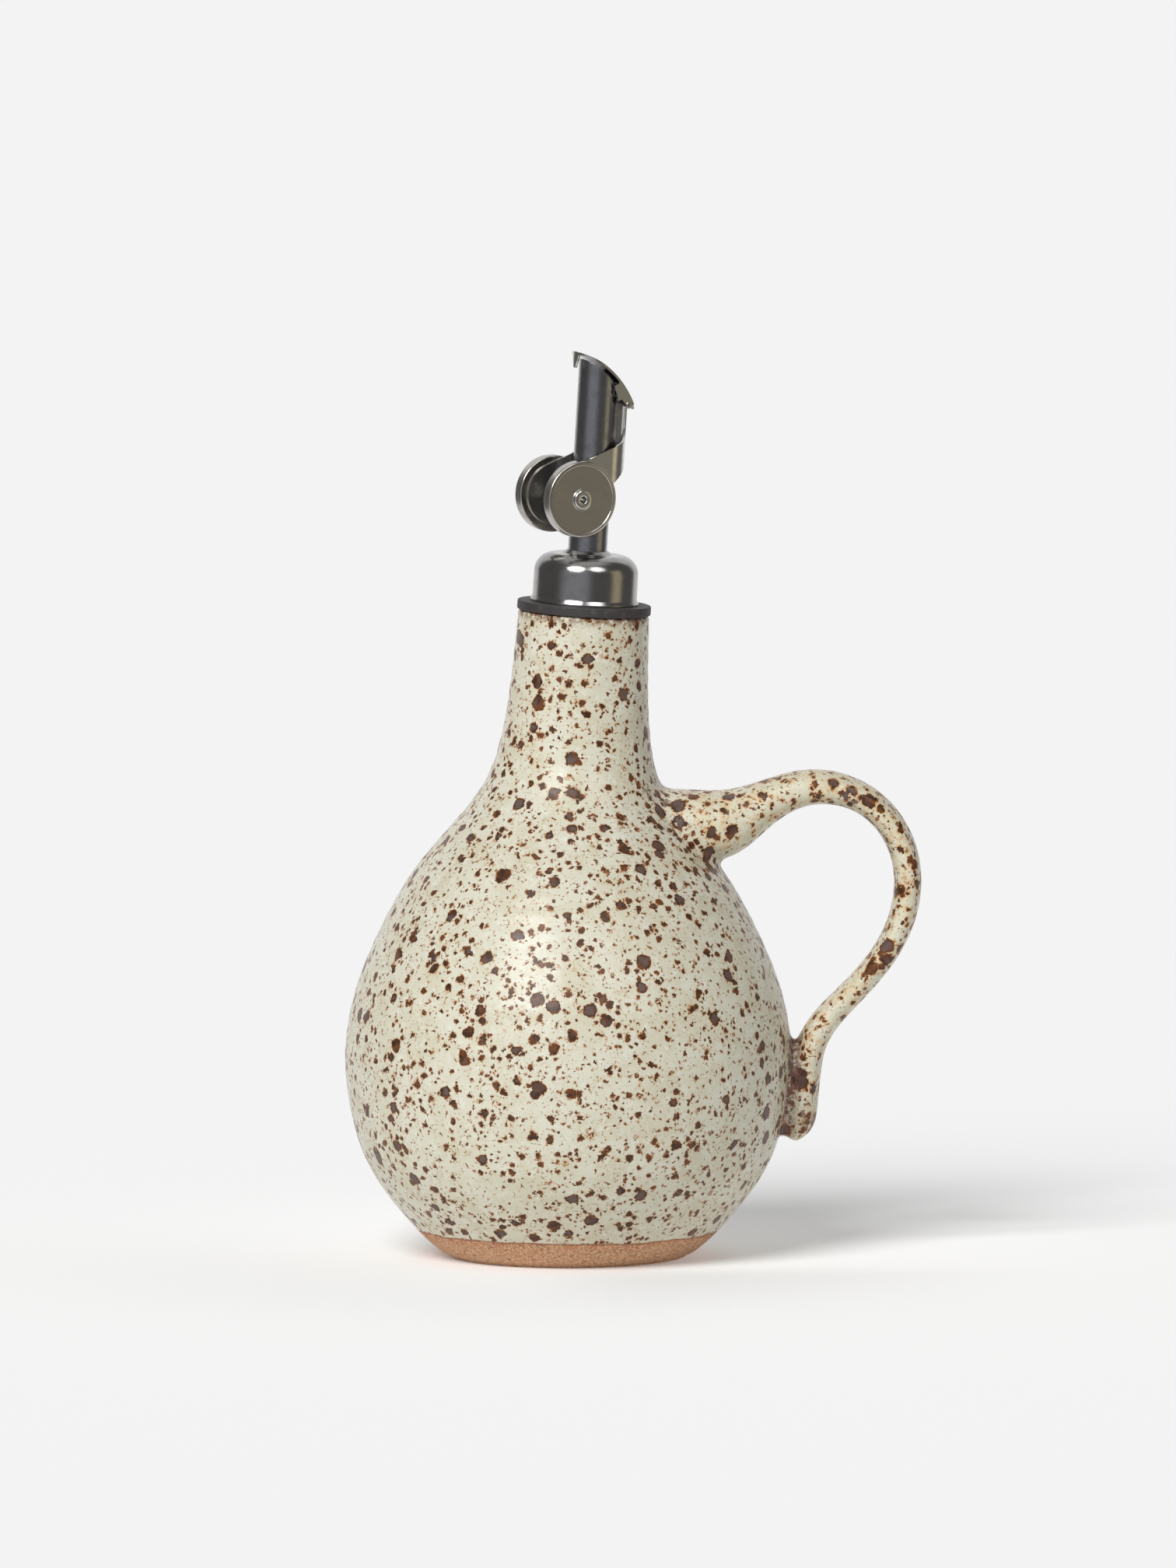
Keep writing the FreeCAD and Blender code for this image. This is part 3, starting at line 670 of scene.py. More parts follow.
@dataclass(frozen=True)
class Glaze:
    """Satin grey-green glaze full of iron spots, over a bare sandy clay foot."""

    name: str = "speckled_glaze"
    body: Rgb = (211, 209, 191)
    thin: Rgb = (203, 198, 175)
    milky: Rgb = (219, 219, 205)
    warm: Rgb = (222, 208, 164)
    gold: Rgb = (205, 162, 96)
    halo: Rgb = (188, 124, 62)
    rust: Rgb = (104, 58, 26)
    dark: Rgb = (52, 30, 18)
    slate: Rgb = (94, 80, 76)
    seam: Rgb = (128, 92, 84)
    clay: Rgb = (190, 146, 111)
    clay_light: Rgb = (228, 194, 162)
    # The dark clay colour serves both the dark grains and the painted shadow line under the
    # glaze.
    clay_dark_and_shade: Rgb = (126, 84, 58)
    clay_red: Rgb = (180, 114, 78)
    glaze_line: float = 7.3
    line_wave: float = 1.2
    roughness: float = 0.26
    clay_roughness: float = 0.92
    relief: float = 0.16
    index: float = 1.48
    mirror: float = 0.3
    clouds: Mottle = Mottle(9.0, 4.0, 0.6, 0.35, 0.62)
    milk: Mottle = Mottle(2.6, 3.0, 0.7, 0.5, 0.76)
    warmth: Mottle = Mottle(4.2, 3.0, 0.5, 0.3, 0.62)
    crowding: Mottle = Mottle(15.0)
    rusty_cores: Mottle = Mottle(1.6, 2.0, 0.5, 0.42, 0.66)
    slate_cores: Mottle = Mottle(5.5, 1.0, 0.5, 0.36, 0.6)
    fringes: Mottle = Mottle(5.2, 4.0, 0.62, 0.605, 0.625)
    pools: Mottle = Mottle(5.2, 4.0, 0.62, 0.625, 0.64)
    breaks: Mottle = Mottle(1.5, 4.0, 0.7, 0.4, 0.52)
    lumps: Mottle = Mottle(1.1, 3.0, 0.75, 0.42, 0.56)
    line: Mottle = Mottle(13.0, 3.0, 0.55)
    flush: Mottle = Mottle(2.4, 3.0, 0.5, 0.3, 0.6)
    grit: Mottle = Mottle(0.62, 3.0, 0.8, 0.46, 0.62)
    pits: Mottle = Mottle(0.9, 3.0, 0.75, 0.55, 0.63)
    swells: Mottle = Mottle(7.0, 1.0)
    dimples: Mottle = Mottle(2.4)
    layers: tuple[Speckles, ...] = (
        Speckles(4.5, 0.58, 2.1, 0.74, 0.08, 0.34, 3.1),
        Speckles(2.5, 0.32, 1.02, 0.84, 0.07, 0.28, 11.7),
        Speckles(1.55, 0.15, 0.54, 0.82, 0.06, 0.22, 23.9),
        Speckles(0.88, 0.06, 0.25, 0.78, 0.05, 0.14, 37.3),
    )

    def ground(self, place: Place) -> bpy.types.NodeSocket:
        """Mix the glaze's own colour: thinner and milkier clouds, warmer on the handle."""
        return place.graph.cover(
            self.thin, (place.patches(self.clouds), self.body),
            (place.patches(self.milk), self.milky),
            (place.handle * 0.26 * place.patches(self.warmth), self.warm))

    def spotted(
        self, place: Place, base: object, crowd: Wire, swell: Wire
    ) -> tuple[bpy.types.NodeSocket, Wire]:
        """Lay the spots over the glaze: orange rings, brown cores, slate in the deepest.

        The rings are wider and golden on the handle. Noise makes the spots' outlines ragged.

        Args:
            place: The place.
            base: The colour under the spots.
            crowd: Multiplies the share of cells that hold a spot.
            swell: Multiplies the size of the spots.

        Returns:
            The colour, and how much of a place is a spot.
        """
        graph, layers = place.graph, self.layers
        ragged = graph.shaken(place.spot, place.spot, 0.42, 3.0, 0.65, 2.6)
        ragged = graph.shaken(ragged, place.spot, 2.1, 2.0, 0.6, 0.95)
        depths = [layer.depth(graph, ragged, crowd, swell) for layer in layers]
        cores = [d.rise(-layer.edge, layer.edge) for d, layer in zip(depths, layers)]
        rings = [d.rise(-layer.halo, 0.0) for d, layer in zip(depths, layers)]
        golden = depths[0].at_least(depths[1]).rise(-0.9, -0.1) * place.handle
        ring = rings[0].at_least(rings[1]).at_least(rings[2] * 0.8).at_least(rings[3] * 0.55)
        ink = graph.blend(self.rusty_cores.patches(graph, ragged), self.dark, self.rust)
        heart = depths[0].rise(0.34, 0.6).at_least(depths[1].rise(0.42, 0.6) * 0.6)
        heart = heart * self.slate_cores.patches(graph, ragged)
        small = cores[1].at_least(cores[2])
        base = graph.cover(
            base, (golden * 0.4, self.gold), (ring * 0.85, self.halo),
            (cores[3] * 0.7, self.rust), (small * 0.95, ink),
            (cores[0] * 0.97, graph.blend(heart * 0.9, ink, self.slate)))
        return base, cores[0].at_least(small)

    def pooled(self, place: Place, base: object) -> bpy.types.NodeSocket:
        """Add pools of iron with rusty fringes, and rust where the glaze broke on an edge.

        Args:
            place: The place. Iron pools on the handle and the joints.
            base: The colour under the pools.

        Returns:
            The colour.
        """
        ware = place.handle.at_least(place.joint * 0.6)
        return place.graph.cover(
            base, (place.patches(self.fringes) * ware * 0.85, self.rust),
            (place.patches(self.pools) * ware * 0.9, self.slate),
            (place.edge * place.patches(self.breaks) * 0.9, self.rust))

    def foot(
        self, place: Place, over: Wire, glazed: Wire
    ) -> tuple[bpy.types.NodeSocket, Wire]:
        """Colour the bare clay: sandy grains, a red flush and a painted shadow line under the
        glaze.

        Args:
            place: The place.
            over: The height over the glaze line.
            glazed: 1 where there is glaze.

        Returns:
            The colour, and the height of its grains.
        """
        flushed = over.rise(-3.4, -0.4) * place.patches(self.flush)
        # rim is painted shade: a dark line on the clay just under the glaze's edge, where its
        # step casts shadow.
        rim = over.rise(-0.75, -0.05) * (1.0 - glazed)
        clay = place.graph.cover(
            self.clay, (flushed * 0.8, self.clay_red),
            (place.patches(self.grit) * 0.9, self.clay_light),
            (place.patches(self.pits) * 0.8, self.clay_dark_and_shade), (rim * 0.7, self.clay_dark_and_shade))
        return clay, place.level(self.grit)

    def material(self) -> bpy.types.Material:
        """Build the material.

        Returns:
            The material.
        """
        made = bpy.data.materials.new(self.name)
        graph = Graph(made)
        place = Place.of(graph)
        handle, joint = place.handle, place.joint
        x, _, height = graph.split(place.spot)
        crowd = (place.level(self.crowding) * 1.6 + 0.32 + handle * 0.45 + joint * 0.25
                 + height.rise(120.0, 164.0) * 0.4)
        swell = joint * 0.25 + 1.0 + handle * (x.rise(70.0, 84.0) * 0.26 - 0.04)
        base, spots = self.spotted(place, self.ground(place), crowd, swell)
        crease = joint.rise(0.55, 0.95) * (1.0 - height.rise(66.0, 74.0))
        base = graph.blend(
            crease * place.patches(self.lumps), self.pooled(place, base), self.seam)

        wave = self.line.level(graph, graph.stretched(place.spot, (1.0, 1.0, 0.4)))
        over = height + wave * (2 * self.line_wave) - (self.line_wave + self.glaze_line)
        glazed = over.rise(-0.12, 0.12)
        clay, grit = self.foot(place, over, glazed)
        swells, lumps = place.level(self.swells), place.level(self.lumps)
        skin = (place.level(self.dimples) * 0.5 + swells) * 0.22 + spots * 0.3
        relief = (skin + 1.0 + crease * lumps * 1.6) * glazed + grit * 1.1 * (1.0 - glazed)
        gloss = swells * 0.1 + self.roughness + spots * 0.04
        graph.surface({
            "Base Color": graph.blend(glazed, clay, base),
            "Roughness": gloss * glazed + (1.0 - glazed) * self.clay_roughness,
            "Normal": graph.bump(relief, self.relief),
            "IOR": self.index,
            "Specular IOR Level": self.mirror,
        })
        return made


class Grain(Enum):
    """Which way the finest marks of a metal surface run."""

    ALONG = "along the axis"
    FACED = "rings on a faced disc"


@dataclass(frozen=True)
class Steel:
    """Stainless steel with fine working marks, slight stains and shallow dimples."""

    name: str
    tint: Rgb
    grain: Grain
    place: Axes
    roughness: float = 0.2
    marks: float = 0.5
    stains: float = 0.3
    dimples: float = 0.0
    stain_shade: float = 0.72
    depth: float = 0.012

    def scratches(self, graph: Graph, spot: object) -> Wire:
        """Draw the finest marks: rings on a faced disc, or lines along the axis.

        Args:
            graph: The material's nodes.
            spot: The place in millimetres.

        Returns:
            The marks' height from 0 to 1.
        """
        if self.grain is Grain.ALONG:
            return graph.noise(graph.stretched(spot, (7.0, 7.0, 0.35)), 1.0, 3.0, 0.7)
        x, y, z = graph.split(spot)
        radius = (x**2.0 + y**2.0) ** 0.5
        line = graph.node("ShaderNodeCombineXYZ", None, {0: radius * 9.0, 2: z})
        return graph.noise(line.outputs[0], 1.0, 2.0, 0.7)

    def material(self) -> bpy.types.Material:
        """Build the material.

        Returns:
            The material.
        """
        made = bpy.data.materials.new(self.name)
        graph = Graph(made)
        spot = graph.millimetres(self.place)
        fine = self.scratches(graph, spot)
        specks = graph.noise(spot, 0.35, 2.0, 0.7)
        hammered = graph.noise(spot, 0.42, 2.0, 0.6) * 5.0 * self.dimples
        stain = graph.noise(spot, 3.2, 4.0, 0.65).rise(0.46, 0.72) * self.stains
        dull = tuple(int(c * self.stain_shade) for c in self.tint)
        graph.surface({
            "Base Color": graph.cover(
                self.tint, (stain, dull), (specks.rise(0.62, 0.72) * self.marks * 0.4, dull)),
            "Metallic": 1.0,
            "Roughness": self.roughness + fine * 0.12 * self.marks + stain * 0.18,
            "Normal": graph.bump(fine + specks * 0.3 + hammered, self.depth * self.marks),
        })
        return made


@dataclass(frozen=True)
class Rubber:
    """Black moulded rubber, with faint patches of dust."""

    name: str = "moulded_rubber"
    tint: Rgb = (50, 46, 46)
    dust: Rgb = (88, 84, 82)
    roughness: float = 0.5
    depth: float = 0.03

    def material(self) -> bpy.types.Material:
        """Build the material.

        Returns:
            The material.
        """
        made = bpy.data.materials.new(self.name)
        graph = Graph(made)
        spot = graph.millimetres()
        film = graph.noise(spot, 2.2, 4.0, 0.7)
        pores = graph.noise(spot, 0.3, 2.0, 0.6)
        graph.surface({
            "Base Color": graph.blend(film.rise(0.5, 0.8) * 0.6, self.tint, self.dust),
            "Roughness": self.roughness + film * 0.2,
            "Normal": graph.bump(pores + film * 0.5, self.depth),
        })
        return made


def dress(piece: bpy.types.Object, finish: bpy.types.Material, body: str) -> None:
    """Give a piece its finish and the body that it rides on.

    Args:
        piece: The piece.
        finish: Its material.
        body: The body that it moves with.
    """
    piece.data.materials.clear()
    piece.data.materials.append(finish)
    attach(piece, body)
    faces = len(piece.data.polygons)
    LOG.info("%s: %d faces, %s, on %s", piece.name, faces, finish.name, body)


# Sub-assemblies


@dataclass(frozen=True)
class Bottle:
    """Thrown body with a leaned neck and a pulled handle.

    Rings are height and radius of the outside. Stations of the handle are reach, height, lean
    of the section in degrees, thickness and width. Ripples are depth, wavelength and seed. A
    joint is how far it reaches over the body, and in shares of the strap's oval how far round
    the strap and how softly it ends.
    """

    rings: tuple[Span, ...] = (
        (0, 30.9), (4, 35.9), (12, 43.5), (24, 51.9), (38, 56.3), (52, 57.7), (68, 55.3),
        (84, 48.9), (100, 39.7), (112, 29.9), (122, 22.9), (134, 19.3), (150, 17.6),
        (166.4, 16.9))
    cavity: tuple[Span, ...] = (
        (7, 28.35), (10.5, 34.2), (24, 46.1), (38, 50.5), (52, 51.9), (68, 49.5), (84, 43.1),
        (100, 33.9), (112, 24.1), (122, 17.1), (134, 11.5))
    stations: tuple[tuple[float, float, float, float, float], ...] = (
        (22.0, 109.6, 88, 22.6, 24.0), (33.0, 110.8, 84, 19.4, 25.0),
        (41.5, 112.2, 76, 16.8, 23.0), (48.6, 115.9, 66, 12.6, 20.0),
        (62.6, 121.1, 85, 9.2, 15.8), (77.2, 117.2, 128, 7.8, 14.6),
        (86.3, 104.2, 161, 7.3, 14.4), (85.9, 87.6, 195, 7.1, 14.4),
        (74.6, 69.8, 221, 6.8, 14.4), (63.0, 55.6, 209, 7.8, 14.8),
        (60.8, 46.5, 187, 8.4, 15.4), (60.1, 38.4, 184, 8.2, 15.4),
        (58.9, 32.6, 193, 6.4, 12.4), (57.4, 30.2, 200, 3.4, 7.0))
    bore: float = 11.5
    lip: float = 0.9
    neck_height: float = 134.0
    inset: float = 0.08
    voxel: float = 1.0
    columns: int = 288
    smoothing: int = 26
    throwing_depth: float = 0.05
    throwing_turn: float = 1.15
    glaze_depth: float = 0.06
    ripples: tuple[tuple[float, float, int], ...] = ((0.35, 62.0, 7), (0.12, 21.0, 12))
    soft_joint: Triple = (7.0, 2.3, 0.9)
    stained_joint: Triple = (9.0, 2.6, 1.2)

    def leaned(self, points: np.ndarray) -> np.ndarray:
        """Lean the neck: a point above the pivot shifts along X and its ring tilts.

        The shift is the height above the pivot times the lean's tangent, and the tilt grows
        with that height up to the neck.

        Args:
            points: Points of the upright body.

        Returns:
            The leaned points.
        """
        above = np.maximum(points[..., 2] - LEAN_PIVOT, 0)
        share = np.minimum(above / (self.neck_height - LEAN_PIVOT), 1)
        tilt = np.radians(LEAN) * share
        x = points[..., 0] * np.cos(tilt) + above * LEAN_SLOPE
        z = points[..., 2] - points[..., 0] * np.sin(tilt)
        return np.stack([x, points[..., 1], z], axis=-1)

    def wall(self) -> np.ndarray:
        """Turn the outside: the rings' smooth line, with throwing lines and slight unevenness.

        A throwing line is a sine of the height, whose phase sways by a slower sine. The radius
        shrinks by smooth ripples, which calm down towards foot and rim.

        Returns:
            The grid, from the foot's centre to the rim's centre.
        """
        outline = profile(self.rings, 260)
        height = outline[:, 1]
        throwing = np.sin(height * self.throwing_turn + 1.6 * np.sin(height * 0.13))
        throwing *= self.throwing_depth * np.clip(height / 20, 0, 1)
        outline[:, 0] -= self.glaze_depth + throwing
        arc = np.linspace(0, math.pi / 2, 8)[1:, None]
        top = outline[-1] - (self.lip, 0)
        lip = top + self.lip * np.concatenate([np.cos(arc), np.sin(arc)], axis=1) - (0, self.lip)
        outline = outline[outline[:, 1] < RIM - self.lip - 0.2]
        foot = np.array([[0.0, 0.0], [outline[0, 0] - 1.2, 0.0], [outline[0, 0] - 0.4, 0.15]])
        rise = np.array([outline[0, 0] + 0.25, 0.8])
        outline = np.concatenate([
            foot, rise[None], outline[outline[:, 1] > 1.2], lip, [[0.0, RIM]]])
        grid = revolved(outline, self.columns)
        uneven = sum(depth * ripple(grid, wave, seed) for depth, wave, seed in self.ripples)
        calm = np.clip((grid[..., 2] - 4) / 16, 0, 1) * np.clip((150 - grid[..., 2]) / 20, 0, 1)
        grid[..., :2] *= 1 - (uneven * calm / 50)[..., None]
        return self.leaned(grid)

    def hollow(self) -> np.ndarray:
        """Turn the inside: the cavity's smooth line, the straight bore and its eased mouth.

        Returns:
            The grid, from the floor's centre up and out of the rim.
        """
        outline = profile(self.cavity, 90)
        bore = np.array([[self.bore, 150.0], [self.bore, RIM - 0.8], [self.bore + 0.8, RIM],
                         [self.bore + 0.8, RIM + 6.0], [0.0, RIM + 6.0]])
        outline = np.concatenate([[[0.0, outline[0, 1]]], outline, bore])
        return self.leaned(revolved(outline, 96))

    def strap(self) -> np.ndarray:
        """Return the grid of the handle: ovals square to its centre line, closed at both ends.

        A point is the centre plus the oval's cosine along Y and its sine across the strap. The
        oval's corners are slightly full: each part is the cosine or sine to the power 0.9. The
        first and last rows lie in the middle of the ends.

        Returns:
            Points of shape rows, columns, 3.
        """
        rows = smooth_through(np.array(self.stations, float), 170)
        reach, rise, lean, thick, wide = rows.T[..., None]
        angle = np.linspace(0, 2 * math.pi, 56, endpoint=False)
        full = [np.sign(part) * np.abs(part) ** 0.9 for part in (np.cos(angle), np.sin(angle))]
        lean = np.radians(lean)
        across = full[1] * (thick / 2 - self.inset)
        side = full[0] * (wide / 2 - self.inset)
        grid = np.stack([reach + across * np.cos(lean), side, rise - across * np.sin(lean)], -1)
        ends = np.broadcast_to(grid[[0, -1]].mean(axis=1, keepdims=True), grid[:2].shape)
        return np.concatenate([ends[:1], grid, ends[1:]])

    def nearness(self, points: np.ndarray) -> tuple[np.ndarray, np.ndarray]:
        """Work out where points lie against the handle and the body.

        The strap's local place is the offset from its nearest centre point, split into across
        the strap and along Y. The body's distance is the radius less the wall's radius there.

        Args:
            points: Points in millimetres.

        Returns:
            How far each point is out of the strap's oval as a share of it, and how far out of
            the body's wall.
        """
        rows = smooth_through(np.array(self.stations, float), 240)
        centre = rows[:, [0, 1]]
        flat = points[:, [0, 2]]
        gap = flat[:, None] - centre[None]
        nearest = np.argmin((gap**2).sum(axis=-1), axis=1)
        lean = np.radians(rows[nearest, 2])
        offset = flat - centre[nearest]
        across = offset[:, 0] * np.cos(lean) - offset[:, 1] * np.sin(lean)
        along = offset[:, 0] * np.sin(lean) + offset[:, 1] * np.cos(lean)
        side = points[:, 1] / (rows[nearest, 4] / 2)
        out = np.sqrt((across / (rows[nearest, 3] / 2))**2 + side**2 + (along / 5)**2)
        wall = profile(self.rings, 400)
        above = np.maximum(points[:, 2] - LEAN_PIVOT, 0)
        x = points[:, 0] - above * LEAN_SLOPE
        body = np.hypot(x, points[:, 1]) - np.interp(points[:, 2], wall[:, 1], wall[:, 0])
        return out, body

    @staticmethod
    def joint_share(out: np.ndarray, body: np.ndarray, joint: Triple) -> np.ndarray:
        """Work out how much of each point belongs to a joint of strap and body.

        The share falls evenly with the distance from the wall, and again near the joint's end
        round the strap.

        Args:
            out: How far each point is out of the strap's oval.
            body: How far it is out of the body's wall.
            joint: The joint's reach, and where and how softly it ends round the strap.

        Returns:
            Shares from 0 to 1.
        """
        reach, limit, fade = joint
        return np.clip(1 - np.abs(body) / reach, 0, 1) * np.clip((limit - out) / fade, 0, 1)

    def joined(self) -> tuple[bpy.types.Object, bpy.types.Object]:
        """Join body and handle, and remesh a copy of the joined skin evenly.

        Returns:
            The exact skin, and its even copy.
        """
        wall = grid_piece("bottle_wall", self.wall())
        strap = grid_piece("bottle_strap", self.strap())
        modify(wall, "BOOLEAN", operation="UNION", object=strap, solver="EXACT")
        settle(wall)
        bottle = bpy.data.objects.new("stoneware_bottle", wall.data.copy())
        bpy.context.scene.collection.objects.link(bottle)
        modify(bottle, "REMESH", mode="VOXEL", voxel_size=self.voxel * MM, adaptivity=0.0)
        settle(bottle)
        bpy.data.objects.remove(strap)
        return wall, bottle

    def softened(self, wall: bpy.types.Object, bottle: bpy.types.Object) -> None:
        """Smooth the skin near the joints, and draw the rest back onto the exact surfaces.

        Args:
            wall: The exact skin.
            bottle: The even one.
        """
        joint = self.joint_share(*self.nearness(coordinates(bottle.data)), self.soft_joint)
        soft = bottle.vertex_groups.new(name="joint")
        firm = bottle.vertex_groups.new(name="exact")
        for level in range(11):
            near = np.nonzero(np.round(joint * 10) == level)[0].tolist()
            soft.add(near, level / 10, "REPLACE")
            firm.add(near, 1 - level / 10, "REPLACE")
        modify(bottle, "SMOOTH", factor=0.5, iterations=self.smoothing, vertex_group="joint")
        modify(bottle, "SHRINKWRAP", target=wall, wrap_method="NEAREST_SURFACEPOINT",
               vertex_group="exact")
        settle(bottle)

    def marked(self, mesh: bpy.types.Mesh) -> None:
        """Store how much of each point is handle, joint, and worn edge at the rim and tail.

        Args:
            mesh: The bottle's mesh.
        """
        points = coordinates(mesh)
        out, body = self.nearness(points)
        handle = np.clip((body - 0.5) / 6.0, 0, 1)
        along_neck = points[:, 2] + (points[:, 0] - NECK.origin[0]) * LEAN_SLOPE
        rim = np.clip((along_neck - RIM + 2.6) / 2.2, 0, 1)
        tail = handle * np.clip((39 - points[:, 2]) / 6, 0, 1) * np.clip((out - 0.9) / 0.08, 0, 1)
        store(mesh, "handle", handle)
        store(mesh, "joint", self.joint_share(out, body, self.stained_joint))
        store(mesh, "edge", np.maximum(tail, rim))

    def build(self) -> bpy.types.Object:
        """Join and soften the skin, hollow the body, and dress it.

        Returns:
            The bottle.
        """
        wall, bottle = self.joined()
        self.softened(wall, bottle)
        hollow = grid_piece("bottle_hollow", self.hollow())
        modify(bottle, "BOOLEAN", operation="DIFFERENCE", object=hollow, solver="EXACT")
        settle(bottle)
        for helper in (wall, hollow):
            bpy.data.objects.remove(helper)
        bottle.vertex_groups.clear()
        bottle.data.shade_smooth()
        self.marked(bottle.data)
        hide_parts("bottle", "handle")
        dress(bottle, Glaze().material(), "bottle")
        return bottle


@dataclass(frozen=True)
class Stopper:
    """Rubber stopper: flange, finned plug and boss, bored for the tube."""

    flange: float = 17.2
    thickness: float = 2.4
    plug: float = 23.0
    plug_top: float = 9.4
    plug_tip: float = 8.4
    fin: float = 11.4
    fin_first: float = 3.2
    fin_pitch: float = 4.9
    fin_depth: float = 1.5
    fin_taper: float = 1.1
    boss: float = 12.85
    boss_top: float = 9.4
    hole: float = 5.05

    def outline(self) -> np.ndarray:
        """Draw the section: up over the fins, which taper in, then the flange and the boss.

        Returns:
            The outline, from the plug's tip to the boss's top.
        """
        corners = [(self.hole, -self.plug, 0), (self.plug_tip, -self.plug, 0.8)]
        for number in reversed(range(4)):
            top = -(self.fin_first + number * self.fin_pitch)
            low = top - self.fin_depth
            share = [1 + h / self.plug for h in (low, top)]
            core = [self.plug_tip + (self.plug_top - self.plug_tip) * s for s in share]
            corners += [
                (core[0], low, 0.25), (self.fin - self.fin_taper, low, 0.3),
                (self.fin, top - 0.1, 0.25), (core[1], top, 0.3)]
        corners += [
            (self.plug_top, 0, 0.3), (self.flange, 0, 0.35),
            (self.flange, self.thickness, 0.35), (self.boss, self.thickness, 0.2),
            (self.boss, self.boss_top, 0.5), (self.hole, self.boss_top, 0)]
        return soften(corners, 5)

    def build(self) -> bpy.types.Object:
        """Turn the stopper.

        Returns:
            The stopper.
        """
        piece = turned_piece("rubber_plug", self.outline(), NECK, 128)
        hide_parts("rubber_stopper")
        dress(piece, Rubber().material(), "pourer")
        return piece


@dataclass(frozen=True)
class Cap:
    """Pressed steel cap with a flared foot, round shoulder and a collar at the tube."""

    base: float = 2.4
    foot: float = 13.95
    foot_height: float = 0.45
    foot_width: float = 0.75
    flare: float = 1.5
    side: float = 13.5
    draft: float = 0.12
    height: float = 12.65
    shoulder: float = 4.9
    collar: float = 6.5
    collar_height: float = 0.9
    sheet: float = 0.6
    hole: float = 5.05

    def build(self) -> bpy.types.Object:
        """Turn the cap: up the outside, in over the top, and back down the inside.

        Returns:
            The cap.
        """
        low, top = self.base, self.base + self.height
        collar_top = top + self.collar_height
        heel = (self.foot - self.foot_width, low, 0)
        inner = self.side - self.sheet
        outline = soften([
            heel, (self.foot, low, 0.15), (self.foot, low + self.foot_height, 0.2),
            (self.side - 0.05, low + self.flare, 1.2),
            (self.side - self.draft, top, self.shoulder), (self.collar, top, 1.1),
            (self.hole + 0.3, collar_top, 0.25), (self.hole, collar_top, 0.1),
            (self.hole, top - self.sheet, 0.1), (inner - self.draft, top - self.sheet, 4.3),
            (inner - 0.1, low + self.flare, 1.0), heel], 12)
        piece = turned_piece("pressed_cap", outline, NECK, 160)
        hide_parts("stopper_cap")
        finish = Steel("cap_steel", (158, 156, 155), Grain.ALONG, NECK, 0.11, 0.8, 0.4)
        dress(piece, finish.material(), "pourer")
        return piece


@dataclass(frozen=True)
class Spout:
    """Pour tube with a mouth cut along an arc, and the thin breather inside it."""

    radius: float = 5.0
    wall: float = 0.7
    low: float = -23.0
    mouth: float = 35.0
    mouth_ahead: float = 22.4
    mouth_middle: float = 34.94
    breather: float = 1.25
    breather_wall: float = 0.3
    breather_back: float = 3.0
    breather_low: float = -33.0
    breather_top: float = 46.0
    rounding: float = 0.18
    columns: int = 120
    rows: int = 40

    def tube(self) -> bpy.types.Object:
        """Stand the wall's rounded section round the axis, up to an arc.

        Each column is the wall's closed section. Its upper end lies on a lying cylinder: the
        cylinder's middle plus the root of its radius squared less the distance ahead squared.
        The rounded ends keep their size, and the share between them is spread over the rest.

        Returns:
            The tube.
        """
        inner, soft = self.radius - self.wall, self.rounding
        section = soften([
            (self.radius, 0.3, 0), (self.radius, 0.0, soft), (inner, 0.0, soft),
            (inner, 1.0, soft), (self.radius, 1.0, soft), (self.radius, 0.3, 0)], 4)[1:-1]
        angle = np.linspace(0, 2 * math.pi, self.columns, endpoint=False)
        between = np.linspace(soft, 1 - soft, self.rows + 2)[1:-1]
        inside = np.stack([np.full(self.rows, inner), between], axis=1)
        outside = np.stack([np.full(self.rows, self.radius), between[::-1]], axis=1)
        outline = np.concatenate([
            section[section[:, 1] <= 0.5], inside, section[section[:, 1] > 0.5], outside])
        radius, share = outline.T[..., None]
        x = radius * np.cos(angle)
        y = radius * np.sin(angle)
        top = self.mouth_middle + np.sqrt(self.mouth**2 - (x + self.mouth_ahead)**2)
        spread = (share - soft) / (1 - 2 * soft) * (top - self.low - 2 * soft)
        height = np.where(share <= soft, self.low + share, self.low + soft + spread)
        height = np.where(share >= 1 - soft, top + share - 1, height)
        grid = FLAP.place(np.stack([x, y, height], axis=-1))
        piece = grid_piece("pour_spout", grid, closed=True)
        modify(piece, "WEIGHTED_NORMAL", keep_sharp=False)
        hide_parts("pour_tube")
        finish = Steel("tube_steel", (150, 150, 152), Grain.ALONG, FLAP, 0.1, 1.3, 0.6, 0.65)
        dress(piece, finish.material(), "pourer")
        return piece

    def air_tube(self) -> bpy.types.Object:
        """Turn the breather against the back of the tube's bore.

        Returns:
            The breather.
        """
        inner = self.breather - self.breather_wall
        outline = soften([
            (inner, self.breather_low, 0), (self.breather, self.breather_low, 0.08),
            (self.breather, self.breather_top, 0.08), (inner, self.breather_top, 0.08),
            (inner, self.breather_low, 0)], 3)
        place = FLAP.shifted((self.breather_back, 0.0, 0.0))
        piece = turned_piece("air_pipe", outline, place, 32)
        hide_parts("air_tube")
        finish = Steel("air_steel", (140, 138, 134), Grain.ALONG, FLAP, 0.3, 0.6, 0.3)
        dress(piece, finish.material(), "pourer")
        return piece


